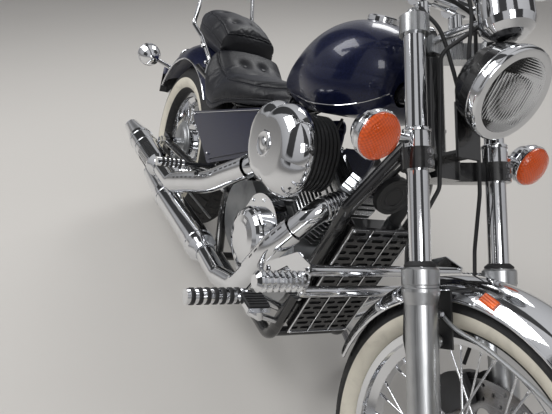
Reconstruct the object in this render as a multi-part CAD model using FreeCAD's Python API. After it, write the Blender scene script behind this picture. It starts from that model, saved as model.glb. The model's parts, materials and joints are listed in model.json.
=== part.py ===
import FreeCAD, Part
import math
import os
from FreeCAD import Placement, Rotation, Vector

# Driving dimensions, in millimetres and degrees. X points forward, Y to the left and Z up.
# The machine is modelled upright, its origin on the floor under the rear axle, and is then
# steered, leaned on its side stand and set on the floor by settled().
wheelbase = 1605.0
rake = 33.5
axle_offset = 45.0              # lead of the front axle over the steering axis
tube_lead = 63.0                # lead of the fork tubes over the steering axis
lean = 16.5                     # to the left, on the side stand
steer = 5.0                     # to the left
axle_radius = 10.0
running_gap = 0.05              # radial, of a shaft in its bearing
seat_gap = 0.3                  # between pieces that lie on each other


def wheel(radius, tall, half, crown, wall, flange, flange_at, hub, hub_half):
    """Sizes of a wire wheel: its tyre is tall from the bead and twice half wide."""
    return {"radius": radius, "bead": radius - tall, "half": half, "crown": crown, "wall": wall,
            "shoulder": half * 0.935, "bead_half": half * 0.63, "flange": flange,
            "flange_at": flange_at, "hub": hub, "hub_half": hub_half, "spokes": 36}


FRONT = wheel(331.0, 90.0, 50.0, 52.0, 8.0, 44.0, 33.0, 24.0, 55.0)
REAR = wheel(326.0, 135.5, 85.0, 95.0, 11.0, 78.0, 34.0, 60.0, 70.0)
spoke_radius = 2.2
spoke_lace = 48.0               # angle between a spoke's ends
lip_height = 12.0               # of a rim beside the tyre's bead
rim_sheet = 3.0

tube_radius = 20.5              # fork tubes
tube_spread = 118.0             # from the middle plane to each fork tube
slider_radius = 29.0
clamp_low = 908.0               # lower clamp's underside, along the fork
clamp_thick = 40.0
crown_low = 1168.0              # upper clamp's underside
crown_thick = 36.0
stem_radius = 15.0
head_radius = 27.0
disc_radius = 149.0
disc_at = 64.0
disc_thick = 5.0
cable_radius = 4.0
bar_radius = 12.7
bar_up = 1283.0
bar_ahead = 27.0
riser_y = 52.0
grip_radius = 17.5
grip_long = 108.0
lamp_radius = 90.0
blinker_y = 230.0
blinker_radius = 44.0

pipe_radius = 16.0              # frame tubes
downtube_half = 108.0
upright_half = 74.0             # rear uprights of the frame
rail_radius = 11.0
spine_radius = 24.0
spine_bend = 260.0
tunnel_gap = 6.0                # of the tank over the spine and the head
crown_sweep = 56.0              # round the steering axis, clear of the turning upper clamp
cradle_height = 192.0
cradle_bend = 40.0
pivot_x = 545.0
pivot_z = 380.0
pin_radius = 6.0                # side stand's pin

cylinder_angle = 26.0
deck = 122.0                    # from the crank to the cylinder's foot
cylinder_top = 268.0
head_top = 335.0
cover_top = 370.0
case_half = 95.0
case_floor = 148.0              # under the crank
fin_count = 9
fin_pitch = 15.0
fin_half = 72.0

sprocket_radius = 104.0
sprocket_teeth = 42
drive_radius = 40.0
chain_thick = 15.0
chain_width = 15.0
guard_half = 92.0               # radiator guard
guard_tall = 187.0
guard_inner = 78.7              # half width of the radiator's tanks, inside the guard's flanges

# Sizes that follow from those
arm_half = REAR["half"] + 45.0  # swingarm, at the wheel
chain_y = REAR["half"] + 19.0
front_hub = Vector(wheelbase, 0.0, FRONT["radius"])
rear_hub = Vector(0.0, 0.0, REAR["radius"])
sin_rake = math.sin(math.radians(rake))
cos_rake = math.cos(math.radians(rake))
trail = (FRONT["radius"] * sin_rake - axle_offset) / cos_rake
steer_foot = Vector(wheelbase + trail, 0.0, 0.0)
steer_axis = Vector(-sin_rake, 0.0, cos_rake)
fork_place = Placement(steer_foot, Rotation(Vector(0, 1, 0), -rake))
axle_up = (front_hub - steer_foot).dot(steer_axis)
fender_radius = FRONT["radius"] + 23.0
fender_half = FRONT["half"] + 14.0
fender_drop = 46.0
fender_edge = fender_radius - fender_drop
slider_top = axle_up + fender_radius + 10.0
boss_up = axle_up + fender_edge - 75.0
fork_top = crown_low + crown_thick + 4.0
rear_fender_radius = REAR["radius"] + 76.0
rear_fender_half = REAR["half"] + 27.0
rear_fender_drop = 76.0
fender_top = rear_hub.z + rear_fender_radius
rail_half = rear_fender_half + 9.0
rail_up = fender_top - 66.0     # seat rails, beside the rear fender
hanger_y = rail_half - 2.0
cover_skin = hanger_y + 7.0 + seat_gap
crank = Vector(wheelbase - 715.0, 0.0, 365.0)
drive_centre = Vector(655.0, 0.0, 385.0)
across = Vector(0, 1, 0)


def vec(x, y, z):
    return Vector(x, y, z)


def rod(start, end, radius):
    return Part.makeCylinder(radius, (end - start).Length, start, end - start)


def block(low, high):
    size = high - low
    return Part.makeBox(size.x, size.y, size.z, low)


def joined(shapes):
    return shapes[0].multiFuse(shapes[1:]).removeSplitter() if len(shapes) > 1 else shapes[0]


def mirrored(shape):
    return shape.mirror(Vector(0, 0, 0), across)


def pair(shape):
    return [shape, mirrored(shape)]


def route(points, bend):
    """Straight runs through the points, joined by tangent arcs of one radius."""
    edges = []
    last = points[0]
    for before, corner, after in zip(points, points[1:], points[2:]):
        back = (before - corner).normalize()
        on = (after - corner).normalize()
        half = back.getAngle(on) / 2.0
        reach = bend / math.tan(half)
        middle = (back + on).normalize()
        centre = corner + middle * (bend / math.sin(half))
        first = corner + back * reach
        final = corner + on * reach
        edges.append(Part.LineSegment(last, first).toShape())
        edges.append(Part.Arc(first, centre - middle * bend, final).toShape())
        last = final
    edges.append(Part.LineSegment(last, points[-1]).toShape())
    return Part.Wire(edges)


def bent(points, radius, bend):
    """Round bar along a route."""
    ring = Part.Wire([Part.Circle(points[0], points[1] - points[0], radius).toShape()])
    return route(points, bend).makePipe(Part.Face(ring))


def outline(place, start, steps):
    """Closed face of lines and arcs. A step is a corner, or a (through, corner) pair for an arc."""
    here = start
    edges = []
    for step in steps:
        if isinstance(step[0], tuple):
            through, there = step
            edges.append(Part.Arc(place(*here), place(*through), place(*there)).toShape())
        else:
            there = step
            edges.append(Part.LineSegment(place(*here), place(*there)).toShape())
        here = there
    if here != start:
        edges.append(Part.LineSegment(place(*here), place(*start)).toShape())
    return Part.Face(Part.Wire(edges))


def side(y):
    return lambda u, v: vec(u, y, v)


def plan(z):
    return lambda u, v: vec(u, v, z)


def wheel_plane(r, w):
    return vec(r, w, 0.0)


def slab(place, start, steps, push):
    return outline(place, start, steps).extrude(push)


def spun(start, steps, angle=360.0, first=0.0):
    """Section of (radius, width) turned about the wheel's own axle."""
    face = outline(wheel_plane, start, steps)
    face.rotate(vec(0, 0, 0), vec(0, -1, 0), first)
    return face.revolve(vec(0, 0, 0), vec(0, -1, 0), angle)


def lathe(base, along, rows):
    """Solid of revolution: rows of (distance along the axis, radius), closed on the axis."""
    points = [vec(0, 0, rows[0][0])] + [vec(r, 0, d) for d, r in rows] + [vec(0, 0, rows[-1][0])]
    face = Part.Face(Part.makePolygon(points + [points[0]]))
    solid = face.revolve(vec(0, 0, 0), vec(0, 0, 1), 360)
    solid.Placement = Placement(base, Rotation(vec(0, 0, 1), along))
    return solid


def at(shape, offset):
    moved = shape.copy()
    moved.translate(offset)
    return moved


def on_fork(shape):
    """Shape drawn with X ahead of the steering axis and Z up along it."""
    placed = shape.copy()
    placed.Placement = fork_place.multiply(placed.Placement)
    return placed


def fork_point(ahead, y, up):
    return fork_place.multVec(vec(ahead, y, up))


def on_rear(radius, angle, y=0.0):
    """Point round the rear axle: 0 degrees is ahead of it and 90 above."""
    turn = math.radians(angle)
    return rear_hub + vec(radius * math.cos(turn), y, radius * math.sin(turn))


def between(x, low, high):
    """Height at x of the line through two (x, height) points."""
    return low[1] + (high[1] - low[1]) * (x - low[0]) / (high[0] - low[0])


# Wheels

def tyre(w):
    """Hollow tyre: beads beside the rim's lips, then round walls and a crowned tread."""
    wall = w["wall"]
    mid = (w["bead"] + w["radius"] - w["crown"]) / 2.0 + 14.0
    shoulder = w["shoulder"]
    shoulder_r = w["radius"] - w["crown"] + math.sqrt(w["crown"] ** 2 - shoulder ** 2)
    inner = shoulder - wall
    inner_r = shoulder_r - wall * 0.6
    clear = w["bead"] + lip_height + 2.0
    foot = w["bead_half"]
    return spun((w["bead"], -foot), [
        (clear, -foot), ((mid, -w["half"]), (shoulder_r, -shoulder)),
        ((w["radius"], 0.0), (shoulder_r, shoulder)), ((mid, w["half"]), (clear, foot)),
        (w["bead"], foot), (w["bead"], foot - wall), (clear, foot - wall),
        ((mid, w["half"] - wall), (inner_r, inner)),
        ((w["radius"] - wall - 2.0, 0.0), (inner_r, -inner)),
        ((mid, -w["half"] + wall), (clear, -foot + wall)), (w["bead"], -foot + wall)])


def rim(w):
    """Rolled rim: a lip each side of the tyre, sloping seats and a well."""
    lip = w["bead"] + lip_height
    seat = w["bead"] - seat_gap
    well = w["bead"] - 17.0
    edge = w["bead_half"] + seat_gap
    slope = w["bead_half"] - 12.0
    foot = w["bead_half"] - 20.0
    upper = [(lip, edge + rim_sheet), (lip, edge), (seat, edge), (seat, slope), (well, foot)]
    lower = [(well - rim_sheet, foot - 1.0), (seat - rim_sheet, slope + 1.0),
             (seat - rim_sheet, edge + rim_sheet)]
    points = upper + [(r, -y) for r, y in reversed(upper)] + [(r, -y) for r, y in reversed(lower)] + lower
    return spun(points[0], points[1:])


def spokes(w):
    """Laced spokes: odd and even ones go to opposite flanges, and in turn lean each way."""
    made = []
    step = 360.0 / w["spokes"]
    rim_r = w["bead"] - 18.5
    hub_r = w["flange"] - 3.0
    for i in range(w["spokes"]):
        flank = 1.0 if i % 2 else -1.0
        swing = spoke_lace if (i // 2) % 2 else -spoke_lace
        at_rim = math.radians(i * step)
        at_hub = math.radians(i * step + swing)
        start = vec(hub_r * math.cos(at_hub), flank * w["flange_at"], hub_r * math.sin(at_hub))
        end = vec(rim_r * math.cos(at_rim), flank * 6.0, rim_r * math.sin(at_rim))
        made.append(rod(start, end, spoke_radius))
    return made


def hub(w):
    """Barrel with two flanges, bored for the axle."""
    bore = axle_radius + running_gap
    out = w["flange_at"] + 3.0
    into = w["flange_at"] - 3.0
    half = [(w["hub"] - 2.0, w["hub_half"]), (w["hub"] - 2.0, out), (w["flange"], out),
            (w["flange"], into), (w["hub"], into)]
    points = [(bore, w["hub_half"])] + half + [(r, -y) for r, y in reversed(half)] + [(bore, -w["hub_half"])]
    return spun(points[0], points[1:])


def wire_wheel(w):
    return joined([rim(w), hub(w)] + spokes(w))


def ring_of_holes(count, radius, hole, low, high, first=0.0):
    """Round cutters across a disc, evenly spaced on a circle."""
    made = []
    for i in range(count):
        turn = math.radians(first + 360.0 * i / count)
        spot = vec(radius * math.cos(turn), low, radius * math.sin(turn))
        made.append(rod(spot, spot + across * (high - low), hole))
    return made


def brake_disc():
    """Drilled disc on its carrier, bolted to the hub's left flange."""
    inner = FRONT["hub"] - 2.0 + running_gap
    face = disc_at + disc_thick
    foot = FRONT["flange_at"] + 3.0 + seat_gap
    disc = spun((inner, disc_at), [
        (inner, foot), (inner + 10.0, foot), (inner + 10.0, disc_at), (disc_radius, disc_at),
        (disc_radius, face), (inner, face)])
    low, high = disc_at - 1.0, face + 1.0
    holes = ring_of_holes(6, 78.0, 17.0, low, high)
    for radius, first in ((139.0, 0.0), (126.0, 10.0), (113.0, 0.0)):
        holes += ring_of_holes(18, radius, 4.0, low, high, first)
    return disc.cut(Part.makeCompound(holes))


def sprocket():
    """Toothed sprocket on a carrier that fits the hub."""
    bore = REAR["hub"] - 2.0 + running_gap
    inner = chain_y - 4.0
    outer = chain_y + 4.0
    foot = REAR["flange_at"] + 3.0 + seat_gap
    shaft = axle_radius + running_gap
    disc = spun((shaft, inner), [
        (shaft, REAR["hub_half"] + seat_gap), (bore, REAR["hub_half"] + seat_gap), (bore, foot),
        (bore + 8.0, foot), (bore + 8.0, inner), (sprocket_radius, inner), (sprocket_radius, outer),
        (shaft, outer)])
    gaps = ring_of_holes(sprocket_teeth, sprocket_radius + 1.0, 4.6, inner - 1.0, outer + 1.0)
    return disc.cut(Part.makeCompound(gaps))


def chain_loop(outer):
    """Outline round both sprockets, this much larger than them."""
    big = sprocket_radius + outer
    small = drive_radius + outer
    run = drive_centre - rear_hub
    tilt = math.atan2(run.z, run.x)
    spread = math.acos((big - small) / math.hypot(run.x, run.z))

    def spot(centre, radius, angle):
        return (centre.x + radius * math.cos(angle), centre.z + radius * math.sin(angle))

    top, low = tilt + spread, tilt - spread
    return [spot(rear_hub, big, top), spot(drive_centre, small, top),
            (spot(drive_centre, small, tilt), spot(drive_centre, small, low)),
            spot(rear_hub, big, low), (spot(rear_hub, big, tilt + math.pi), spot(rear_hub, big, top))]


def drive_chain():
    place = side(chain_y - chain_width / 2.0)
    push = across * chain_width
    loops = [chain_loop(chain_thick), chain_loop(1.0)]
    outer, inner = [slab(place, loop[0], loop[1:], push) for loop in loops]
    return outer.cut(inner)


# Fork and steering

def both_tubes(radius, low, high):
    """Upright bars on both fork legs' lines."""
    return [rod(vec(tube_lead, y, low), vec(tube_lead, y, high), radius)
            for y in (-tube_spread, tube_spread)]


def fork_tubes():
    """Chromed tubes with a domed cap on each."""
    made = []
    for y in (-tube_spread, tube_spread):
        foot = slider_top + seat_gap
        tall = fork_top - foot
        made.append(on_fork(lathe(vec(tube_lead, y, foot), vec(0, 0, 1), [
            (0.0, tube_radius), (tall, tube_radius), (tall, tube_radius - 2.0),
            (tall + 3.0, tube_radius - 3.0), (tall + 4.5, tube_radius - 8.0), (tall + 5.0, 2.0)])))
    return made


def sliders():
    """Lower legs: an axle lug, a tapered leg, a collar under the tube and an inner boss."""
    made = []
    for y in (-tube_spread, tube_spread):
        foot = vec(tube_lead, y, axle_up - 24.0)
        tall = slider_top - foot.z
        ring = slider_radius + 5.0
        leg = lathe(foot, vec(0, 0, 1), [
            (0.0, 20.0), (6.0, 26.0), (60.0, slider_radius), (tall - 66.0, slider_radius),
            (tall - 44.0, ring), (tall - 38.0, ring), (tall - 36.0, ring - 2.0),
            (tall - 32.0, ring - 2.0), (tall - 30.0, ring), (tall - 4.0, ring),
            (tall, slider_radius + 1.0)])
        lug = rod(vec(axle_offset, y - 25.0, axle_up), vec(axle_offset, y + 25.0, axle_up), 25.0)
        inward = -1.0 if y > 0 else 1.0
        boss = rod(vec(tube_lead, y + inward * 20.0, boss_up), vec(tube_lead, y + inward * 38.0, boss_up), 14.0)
        bore = rod(vec(axle_offset, y - 40.0, axle_up), vec(axle_offset, y + 40.0, axle_up),
                   axle_radius + running_gap)
        made.append(on_fork(joined([leg, lug, boss]).cut(bore)))
    return made


def clamp_plate(low, thick, eye, middle):
    """Fork clamp: an eye round each tube and the stem's boss, joined by a tapered web."""
    up = vec(0, 0, thick)
    web = slab(plan(low), (-middle * 0.7, -middle), [
        (middle * 0.7, -middle), (tube_lead + eye * 0.5, -tube_spread + eye * 0.3),
        (tube_lead - eye, -tube_spread)], up)
    core = Part.makeBox(middle * 1.8, middle * 2.0, thick, vec(-middle * 0.7, -middle, low))
    boss = rod(vec(0, 0, low), vec(0, 0, low) + up, middle)
    return joined([core, web, mirrored(web), boss] + both_tubes(eye, low, low + thick))


def tube_bores():
    return both_tubes(tube_radius + running_gap, clamp_low - 60.0, fork_top + 60.0)


def lower_clamp():
    body = clamp_plate(clamp_low, clamp_thick, 31.0, 36.0)
    stem = rod(vec(0, 0, clamp_low + 5.0), vec(0, 0, crown_low + crown_thick + 6.0), stem_radius)
    return on_fork(joined([body, stem]).cut(joined(tube_bores())))


def upper_clamp():
    body = clamp_plate(crown_low, crown_thick, 28.0, 30.0)
    hole = rod(vec(0, 0, crown_low - 5.0), vec(0, 0, crown_low + 80.0), stem_radius + running_gap)
    return on_fork(body.cut(joined(tube_bores() + [hole])))


def handlebar_points():
    """Route of the bar: swept back from the risers, then out and down to the grips."""
    middle = fork_point(bar_ahead, 0.0, bar_up)
    right = [fork_point(-186.5, -415.0, 1412.6), fork_point(-61.8, -350.0, 1374.4),
             fork_point(36.0, -215.0, 1337.3), vec(middle.x, -95, middle.z)]
    return right + [vec(p.x, -p.y, p.z) for p in reversed(right)]


def handlebar():
    bar = bent(handlebar_points(), bar_radius, 60.0)
    foot = crown_low + crown_thick + seat_gap
    risers = []
    for y in (-riser_y, riser_y):
        post = on_fork(rod(vec(bar_ahead, y, foot), vec(bar_ahead, y, bar_up), 15.0))
        middle = fork_point(bar_ahead, y, bar_up)
        risers += [post, rod(middle - across * 17.0, middle + across * 17.0, 23.0)]
    return joined([bar] + risers)


def grip_run():
    points = handlebar_points()
    return points[0], (points[1] - points[0]).normalize()


def grips():
    end, along = grip_run()
    hole = rod(end, end + along * 130.0, bar_radius + running_gap)
    return pair(rod(end - along * 4.0, end + along * grip_long, grip_radius).cut(hole))


def bar_clamp(radius):
    end, along = grip_run()
    return rod(end + along * (grip_long + 0.5), end + along * (grip_long + 22.5), radius)


def lever_knuckle():
    """Where a hand lever turns, ahead of the bar, and the bar's direction there."""
    end, along = grip_run()
    ahead = vec(0, 0, 1).cross(along).normalize() * -1.0
    middle = end + along * (grip_long + 12.5)
    return middle, middle + ahead * 34.0, along, ahead


def hand_controls():
    """Perch, switch housing and lever on each grip's inner end, with the brake's reservoir on the right."""
    middle, knuckle, along, ahead = lever_knuckle()
    arm = rod(middle + ahead * 15.0, knuckle, 9.0)
    lever = bent([knuckle, knuckle - along * 70.0 + ahead * 12.0, knuckle - along * 150.0 + ahead * 2.0],
                 6.0, 50.0)
    hole = rod(middle - along * 130.0, middle + along * 80.0, bar_radius + running_gap)
    held = joined([bar_clamp(24.0), arm, lever]).cut(hole)
    cup = knuckle + vec(14.0, -14.0, 24.0)
    tank = joined([rod(cup, cup + vec(0, 0, 30.0), 23.0), rod(knuckle, cup + vec(-6.0, 6.0, 4.0), 8.0)])
    return [joined([held, tank]), mirrored(held)]


def mirrors():
    """Round mirror on a bent stalk from each perch."""
    end, along = grip_run()
    foot = end + along * (grip_long + 12.0) + vec(0, 0, 20.0)
    head = fork_point(39.5, -400.0, 1454.9)
    stalk = bent([foot, foot + vec(6, -10, 62), head + vec(0, 30, -42), head], 5.0, 18.0)
    glass = lathe(head + vec(22.0, 0.0, 0.0), vec(-1, 0, 0), [
        (0, 18), (4, 34), (10, 45), (18, 51), (23, 52), (26, 52)])
    return pair(joined([stalk, glass]).cut(bar_clamp(24.0 + seat_gap)))


def speedometer():
    """Chromed bucket over the upper clamp, tilted to the rider."""
    low = fork_point(184.15, 0.0, 1144.5)
    up = vec(-0.62, 0.0, 0.78)
    bucket = lathe(low, up, [(0, 14), (2, 24), (8, 36), (20, 47), (34, 51), (92, 51), (96, 54), (104, 54)])
    foot = rod(low + up * 50.0, fork_point(30.0, 0.0, crown_low + crown_thick + seat_gap), 10.0)
    return joined([bucket, foot]).cut(upper_clamp())


lamp_centre = fork_point(184.2, 0.0, 1041.3)
lamp_aim = vec(0.995, 0.0, -0.1).normalize()


def lamp_bowl(grown):
    """Rows of the headlight's bowl from its rim back: (distance, radius)."""
    return [(16.0, lamp_radius - 4.0 + grown), (45.0, lamp_radius - 8.0 + grown), (62.0, lamp_radius - 14.0 + grown),
            (76.0, lamp_radius - 24.0 + grown), (88.0, lamp_radius - 36.0 + grown), (98.0, 40.0 + grown),
            (106.0, 24.0 + grown), (110.0 + grown, 10.0)]


def headlight_shell():
    """Bowl with a rolled rim, open to the front."""
    rim_rows = [(-4.0, lamp_radius - 8.0), (-4.0, lamp_radius - 3.0), (0.0, lamp_radius), (13.0, lamp_radius),
                (15.0, lamp_radius - 2.0)]
    bowl = lathe(lamp_centre, lamp_aim * -1.0, rim_rows + lamp_bowl(0.0))
    hollow = lathe(lamp_centre, lamp_aim * -1.0, [
        (-5.0, lamp_radius - 9.0), (12.0, lamp_radius - 9.0), (40.0, 52.0), (60.0, 20.0)])
    return bowl.cut(hollow)


def headlight_lens():
    edge = lamp_radius - 9.6
    return lathe(lamp_centre, lamp_aim, [(-10.0, edge), (0.0, edge), (5.0, 72.0), (8.5, 54.0), (11.0, 34.0), (12.5, 1.0)])


def headlight_bracket():
    """Plate on the lower clamp and an upright one in front of it, which the lamp's shell rests on."""
    foot = clamp_low + clamp_thick + seat_gap
    base = block(vec(33.0, -34.0, foot), vec(90.0, 34.0, foot + 6.0))
    plate = block(vec(84.0, -34.0, foot - 8.0), vec(90.0, 34.0, foot + 100.0))
    lamp = lathe(lamp_centre, lamp_aim * -1.0, [(0.0, lamp_radius + seat_gap)] + lamp_bowl(seat_gap))
    return on_fork(joined([base, plate])).cut(lamp)


def indicator_body(centre, forward, stalk_end):
    """Bullet shell on a stalk."""
    shell = lathe(centre, forward * -1.0, [
        (0.0, blinker_radius), (10.0, blinker_radius), (24.0, blinker_radius - 4.0), (38.0, blinker_radius - 12.0),
        (50.0, blinker_radius - 24.0), (58.0, 10.0), (61.0, 2.0)])
    return joined([shell, rod(centre + forward * -22.0, stalk_end, 9.0)])


def indicator_lens(centre, forward):
    return lathe(centre, forward, [
        (seat_gap, blinker_radius - 1.0), (6.0, blinker_radius - 1.0), (13.0, 38.0), (19.0, 26.0), (22.5, 12.0), (23.0, 1.0)])


def front_indicator_spots():
    """Root of each front indicator's stalk on the fork, and its centre."""
    up = clamp_low + clamp_thick + seat_gap + 15.0
    made = []
    for sign in (-1.0, 1.0):
        root = fork_point(tube_lead, sign * (tube_spread + 22.0), up)
        made.append((sign, root, vec(root.x + 16.0, sign * blinker_y, root.z)))
    return made


def front_indicators():
    """Bullets on collars that grip the fork tubes over the lower clamp."""
    low = clamp_low + clamp_thick + seat_gap
    made = []
    for sign, root, centre in front_indicator_spots():
        y = sign * tube_spread
        ring = on_fork(rod(vec(tube_lead, y, low), vec(tube_lead, y, low + 30.0), 26.0))
        body = joined([ring, indicator_body(centre, vec(1, 0, 0), root)])
        made.append(body.cut(on_fork(joined(tube_bores()))))
    return made


def front_indicator_lenses():
    return [indicator_lens(centre, vec(1, 0, 0)) for sign, root, centre in front_indicator_spots()]


def arch(radius, half, drop, wall, first, span):
    """Fender: a crowned strip turned about the wheel's axle, from one angle over a span."""
    edge = radius - drop
    return spun((edge, -half), [
        ((radius, 0.0), (edge, half)), (edge, half - wall), ((radius - wall, 0.0), (edge, -half + wall))], span, first)


def front_fender():
    return at(arch(fender_radius, fender_half, fender_drop, 2.5, 32.0, 148.0), front_hub)


def front_fender_bracket():
    """Each side: a plate from the slider's boss to the fender's edge, and a stay along it to the rear."""
    made = []
    inner = fender_half + seat_gap
    for sign in (-1.0, 1.0):
        plate = block(vec(tube_lead - 26.0, inner, boss_up - 15.0),
                      vec(tube_lead + 26.0, inner + 5.0, boss_up + 90.0))
        stub = rod(vec(tube_lead, inner, boss_up), vec(tube_lead, tube_spread - 38.0 - seat_gap, boss_up), 10.0)
        leg = on_fork(joined([plate, stub]))
        made.append(leg if sign > 0 else mirrored(leg))
    return made


def front_axle():
    """Shaft through both legs, with a sleeve each side of the hub and a head outside each leg."""
    shaft = rod(front_hub - across * 150.0, front_hub + across * 150.0, axle_radius)
    inner = tube_spread - slider_radius - seat_gap
    outer = tube_spread + slider_radius + seat_gap
    made = [shaft]
    for s in (-1.0, 1.0):
        made.append(rod(front_hub + across * (s * (FRONT["hub_half"] + 0.5)), front_hub + across * (s * inner), 17.0))
        made.append(rod(front_hub + across * (s * outer), front_hub + across * (s * (outer + 9.0)), 16.0))
    return joined(made)


def caliper():
    """Twin-piston caliper over the disc's edge, carried by the left leg."""
    near = disc_radius - 53.0
    far = disc_radius + 17.0
    body = slab(side(44.0), (near, -44.0), [
        (near + 12.0, -48.0), (far - 14.0, -48.0), ((far, -24.0), (far + 2.0, 0.0)),
        ((far, 24.0), (far - 14.0, 48.0)), (near + 12.0, 48.0), (near, 44.0)], across * 54.0)
    slot = block(vec(near - 16.0, disc_at - 5.5, -60.0), vec(disc_radius + 6.0, disc_at + disc_thick + 5.5, 60.0))
    arm = block(vec(near + 8.0, 98.0, -60.0), vec(near + 54.0, 110.0, 20.0))
    pistons = [rod(vec(near + 28.0, 96.0, z), vec(near + 28.0, 108.0, z), 15.0) for z in (-22.0, 22.0)]
    made = joined([body.cut(slot), arm] + pistons)
    made.Placement = Placement(front_hub, Rotation(vec(0, 1, 0), -150.0))
    leg = rod(vec(tube_lead, tube_spread, axle_up - 24.0), vec(tube_lead, tube_spread, slider_top),
              slider_radius + seat_gap)
    return made.cut(on_fork(leg))


def brake_hose():
    """Hose from the reservoir, over the middle and down behind the left leg to the caliper."""
    middle, knuckle, along, ahead = lever_knuckle()
    path = [knuckle + along * 6.0, knuckle + along * 90.0 + vec(0, 0, 10.0)]
    path += [fork_point(*spot) for spot in (
        (82.0, -70.0, 1264.0), (84.0, 42.0, 1244.0), (68.0, 62.0, 1130.0), (66.0, 60.0, 880.0),
        (18.0, 102.0, slider_top + 39.0), (10.0, 104.0, boss_up), (-8.0, 88.0, axle_up + 169.0))]
    return bent(path, cable_radius, 34.0).cut(caliper()).cut(hand_controls()[0])


def speedometer_cable():
    """Cable from the instrument down behind the right leg to its drive beside the front hub."""
    spots = ((134.0, -20.0, 1184.0), (80.0, -64.0, 1140.0), (66.0, -62.0, 880.0),
             (18.0, -102.0, slider_top + 39.0), (10.0, -104.0, boss_up), (14.0, -74.0, axle_up + 83.0),
             (40.0, -72.0, axle_up + 13.0))
    return bent([fork_point(*spot) for spot in spots], cable_radius, 34.0).cut(speedometer()).cut(front_axle())


# Frame

def spine_points():
    return [fork_point(0.0, 0.0, 1095.0), vec(900, 0, 822), vec(620, 0, 690)]


def seat_rail(grown=0.0):
    points = [vec(630, 18, 686), vec(500, 100, 646), vec(300, rail_half, rail_up - 10.0),
              vec(118, rail_half, rail_up)]
    return bent(points, rail_radius + grown, 50.0)


def cradle_loop(grown=0.0):
    """One side of the frame's main loop: down from the head, back under the engine and up to the spine."""
    throat = fork_point(0.0, 0.0, 1018.0)
    points = [vec(throat.x, 20, throat.z), vec(1168, 102, 640), vec(1050, downtube_half, cradle_height),
              vec(640, downtube_half, cradle_height), vec(528, upright_half, 285),
              vec(508, upright_half, 560), vec(600, 24, 694)]
    return bent(points, pipe_radius + grown, cradle_bend)


def peg_hanger():
    """Bar from the seat rail down and out to a passenger's peg."""
    return bent([vec(486, -hanger_y + 15.0, 647), vec(486, -hanger_y, 600), vec(486, -hanger_y, 428),
                 vec(486, -233, 428)], 7.0, 14.0)


def main_frame():
    """Head, spine, cradle, seat rails and the lugs that carry the rest."""
    head = on_fork(rod(vec(0, 0, clamp_low + clamp_thick + 5.0), vec(0, 0, crown_low - 5.0), head_radius))
    bore = on_fork(rod(vec(0, 0, clamp_low), vec(0, 0, crown_low + 40.0), stem_radius + running_gap))
    spine = bent(spine_points(), spine_radius, spine_bend)
    inner = upright_half
    ties = [rod(vec(x, -y, z), vec(x, y, z), 13.0) for x, y, z in (
        (1030.0, downtube_half, cradle_height), (860.0, downtube_half, cradle_height),
        (650.0, downtube_half, cradle_height),
        (519.0, inner, 440.0), (480.0, 104.0, 647.0))]
    gusset = block(vec(pivot_x - 30.0, inner - 16.0, pivot_z - 45.0),
                   vec(pivot_x + 24.0, inner + 14.0, pivot_z + 45.0))
    rest = block(vec(840.0, -60.0, cradle_height), vec(880.0, 60.0, crank.z - case_floor - seat_gap))
    pivot = rod(vec(pivot_x, -arm_half - 10.0, pivot_z), vec(pivot_x, arm_half + 10.0, pivot_z), 10.0)
    stub = rod(vec(150.0, -rail_half, rail_up - 2.0), vec(150.0, -60.0, rail_up - 2.0), 9.0).cut(fender_core())
    shapes = [head, spine] + pair(cradle_loop()) + pair(seat_rail()) + pair(peg_hanger()) + ties
    shapes += pair(gusset) + pair(stub) + [rest, stand_bracket()]
    return joined(shapes).cut(bore).cut(pivot)


def tubes_to_clear():
    """The frame's tubes a little larger, to seat what rests on them."""
    return joined(pair(seat_rail(seat_gap)) + pair(cradle_loop(seat_gap))
                  + [bent(spine_points(), spine_radius + seat_gap, spine_bend)])


arm_front = (345.0, 362.0)


def swingarm():
    """Two arms from the pivot to the axle, with the hidden damper's strut and the chain guard."""
    inner = upright_half - 18.0
    shaft = rod(vec(pivot_x, -upright_half - 24.0, pivot_z), vec(pivot_x, upright_half + 24.0, pivot_z),
                10.0 - running_gap)
    barrel = rod(vec(pivot_x, -inner, pivot_z), vec(pivot_x, inner, pivot_z), 22.0)
    arm = bent([vec(pivot_x, inner - 18.0, pivot_z), vec(440, inner - 14.0, 372),
                vec(arm_front[0], arm_half, arm_front[1]), vec(20, arm_half, rear_hub.z)], 16.0, 40.0)
    end = block(vec(-40.0, arm_half - 8.0, rear_hub.z - 26.0), vec(34.0, arm_half + 8.0, rear_hub.z + 26.0))
    strut = bent([vec(470, 34, 380), vec(400, 30, 500), vec(470, 10, 570)], 12.0, 40.0)
    hole = rod(rear_hub - across * (arm_half + 20.0), rear_hub + across * (arm_half + 20.0),
               axle_radius + running_gap)
    return joined([shaft, barrel] + pair(arm) + pair(end) + pair(strut) + [chain_guard()]).cut(hole)


def chain_guard():
    """Strip over the chain's upper run on two stays from the left arm."""
    hub_z = rear_hub.z
    near = (470.0, 458.0)
    far = (120.0, hub_z + 144.0)
    under = (130.0, hub_z + 130.0)
    front = (470.0, 446.0)
    guard = slab(side(chain_y + 11.0), near, [
        far, ((60.0, hub_z + 140.0), (20.0, hub_z + 124.0)), (30.0, hub_z + 114.0), under, front], across * 4.0)
    stays = []
    for x in (300.0, 135.0):
        foot = between(x, (20.0, hub_z), arm_front) + 12.0
        top = (between(x, far, near) + between(x, under, front)) / 2.0
        stays.append(rod(vec(x, arm_half - 4.0, foot), vec(x, chain_y + 13.0, top), 5.0))
    return joined([guard] + stays)


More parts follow.
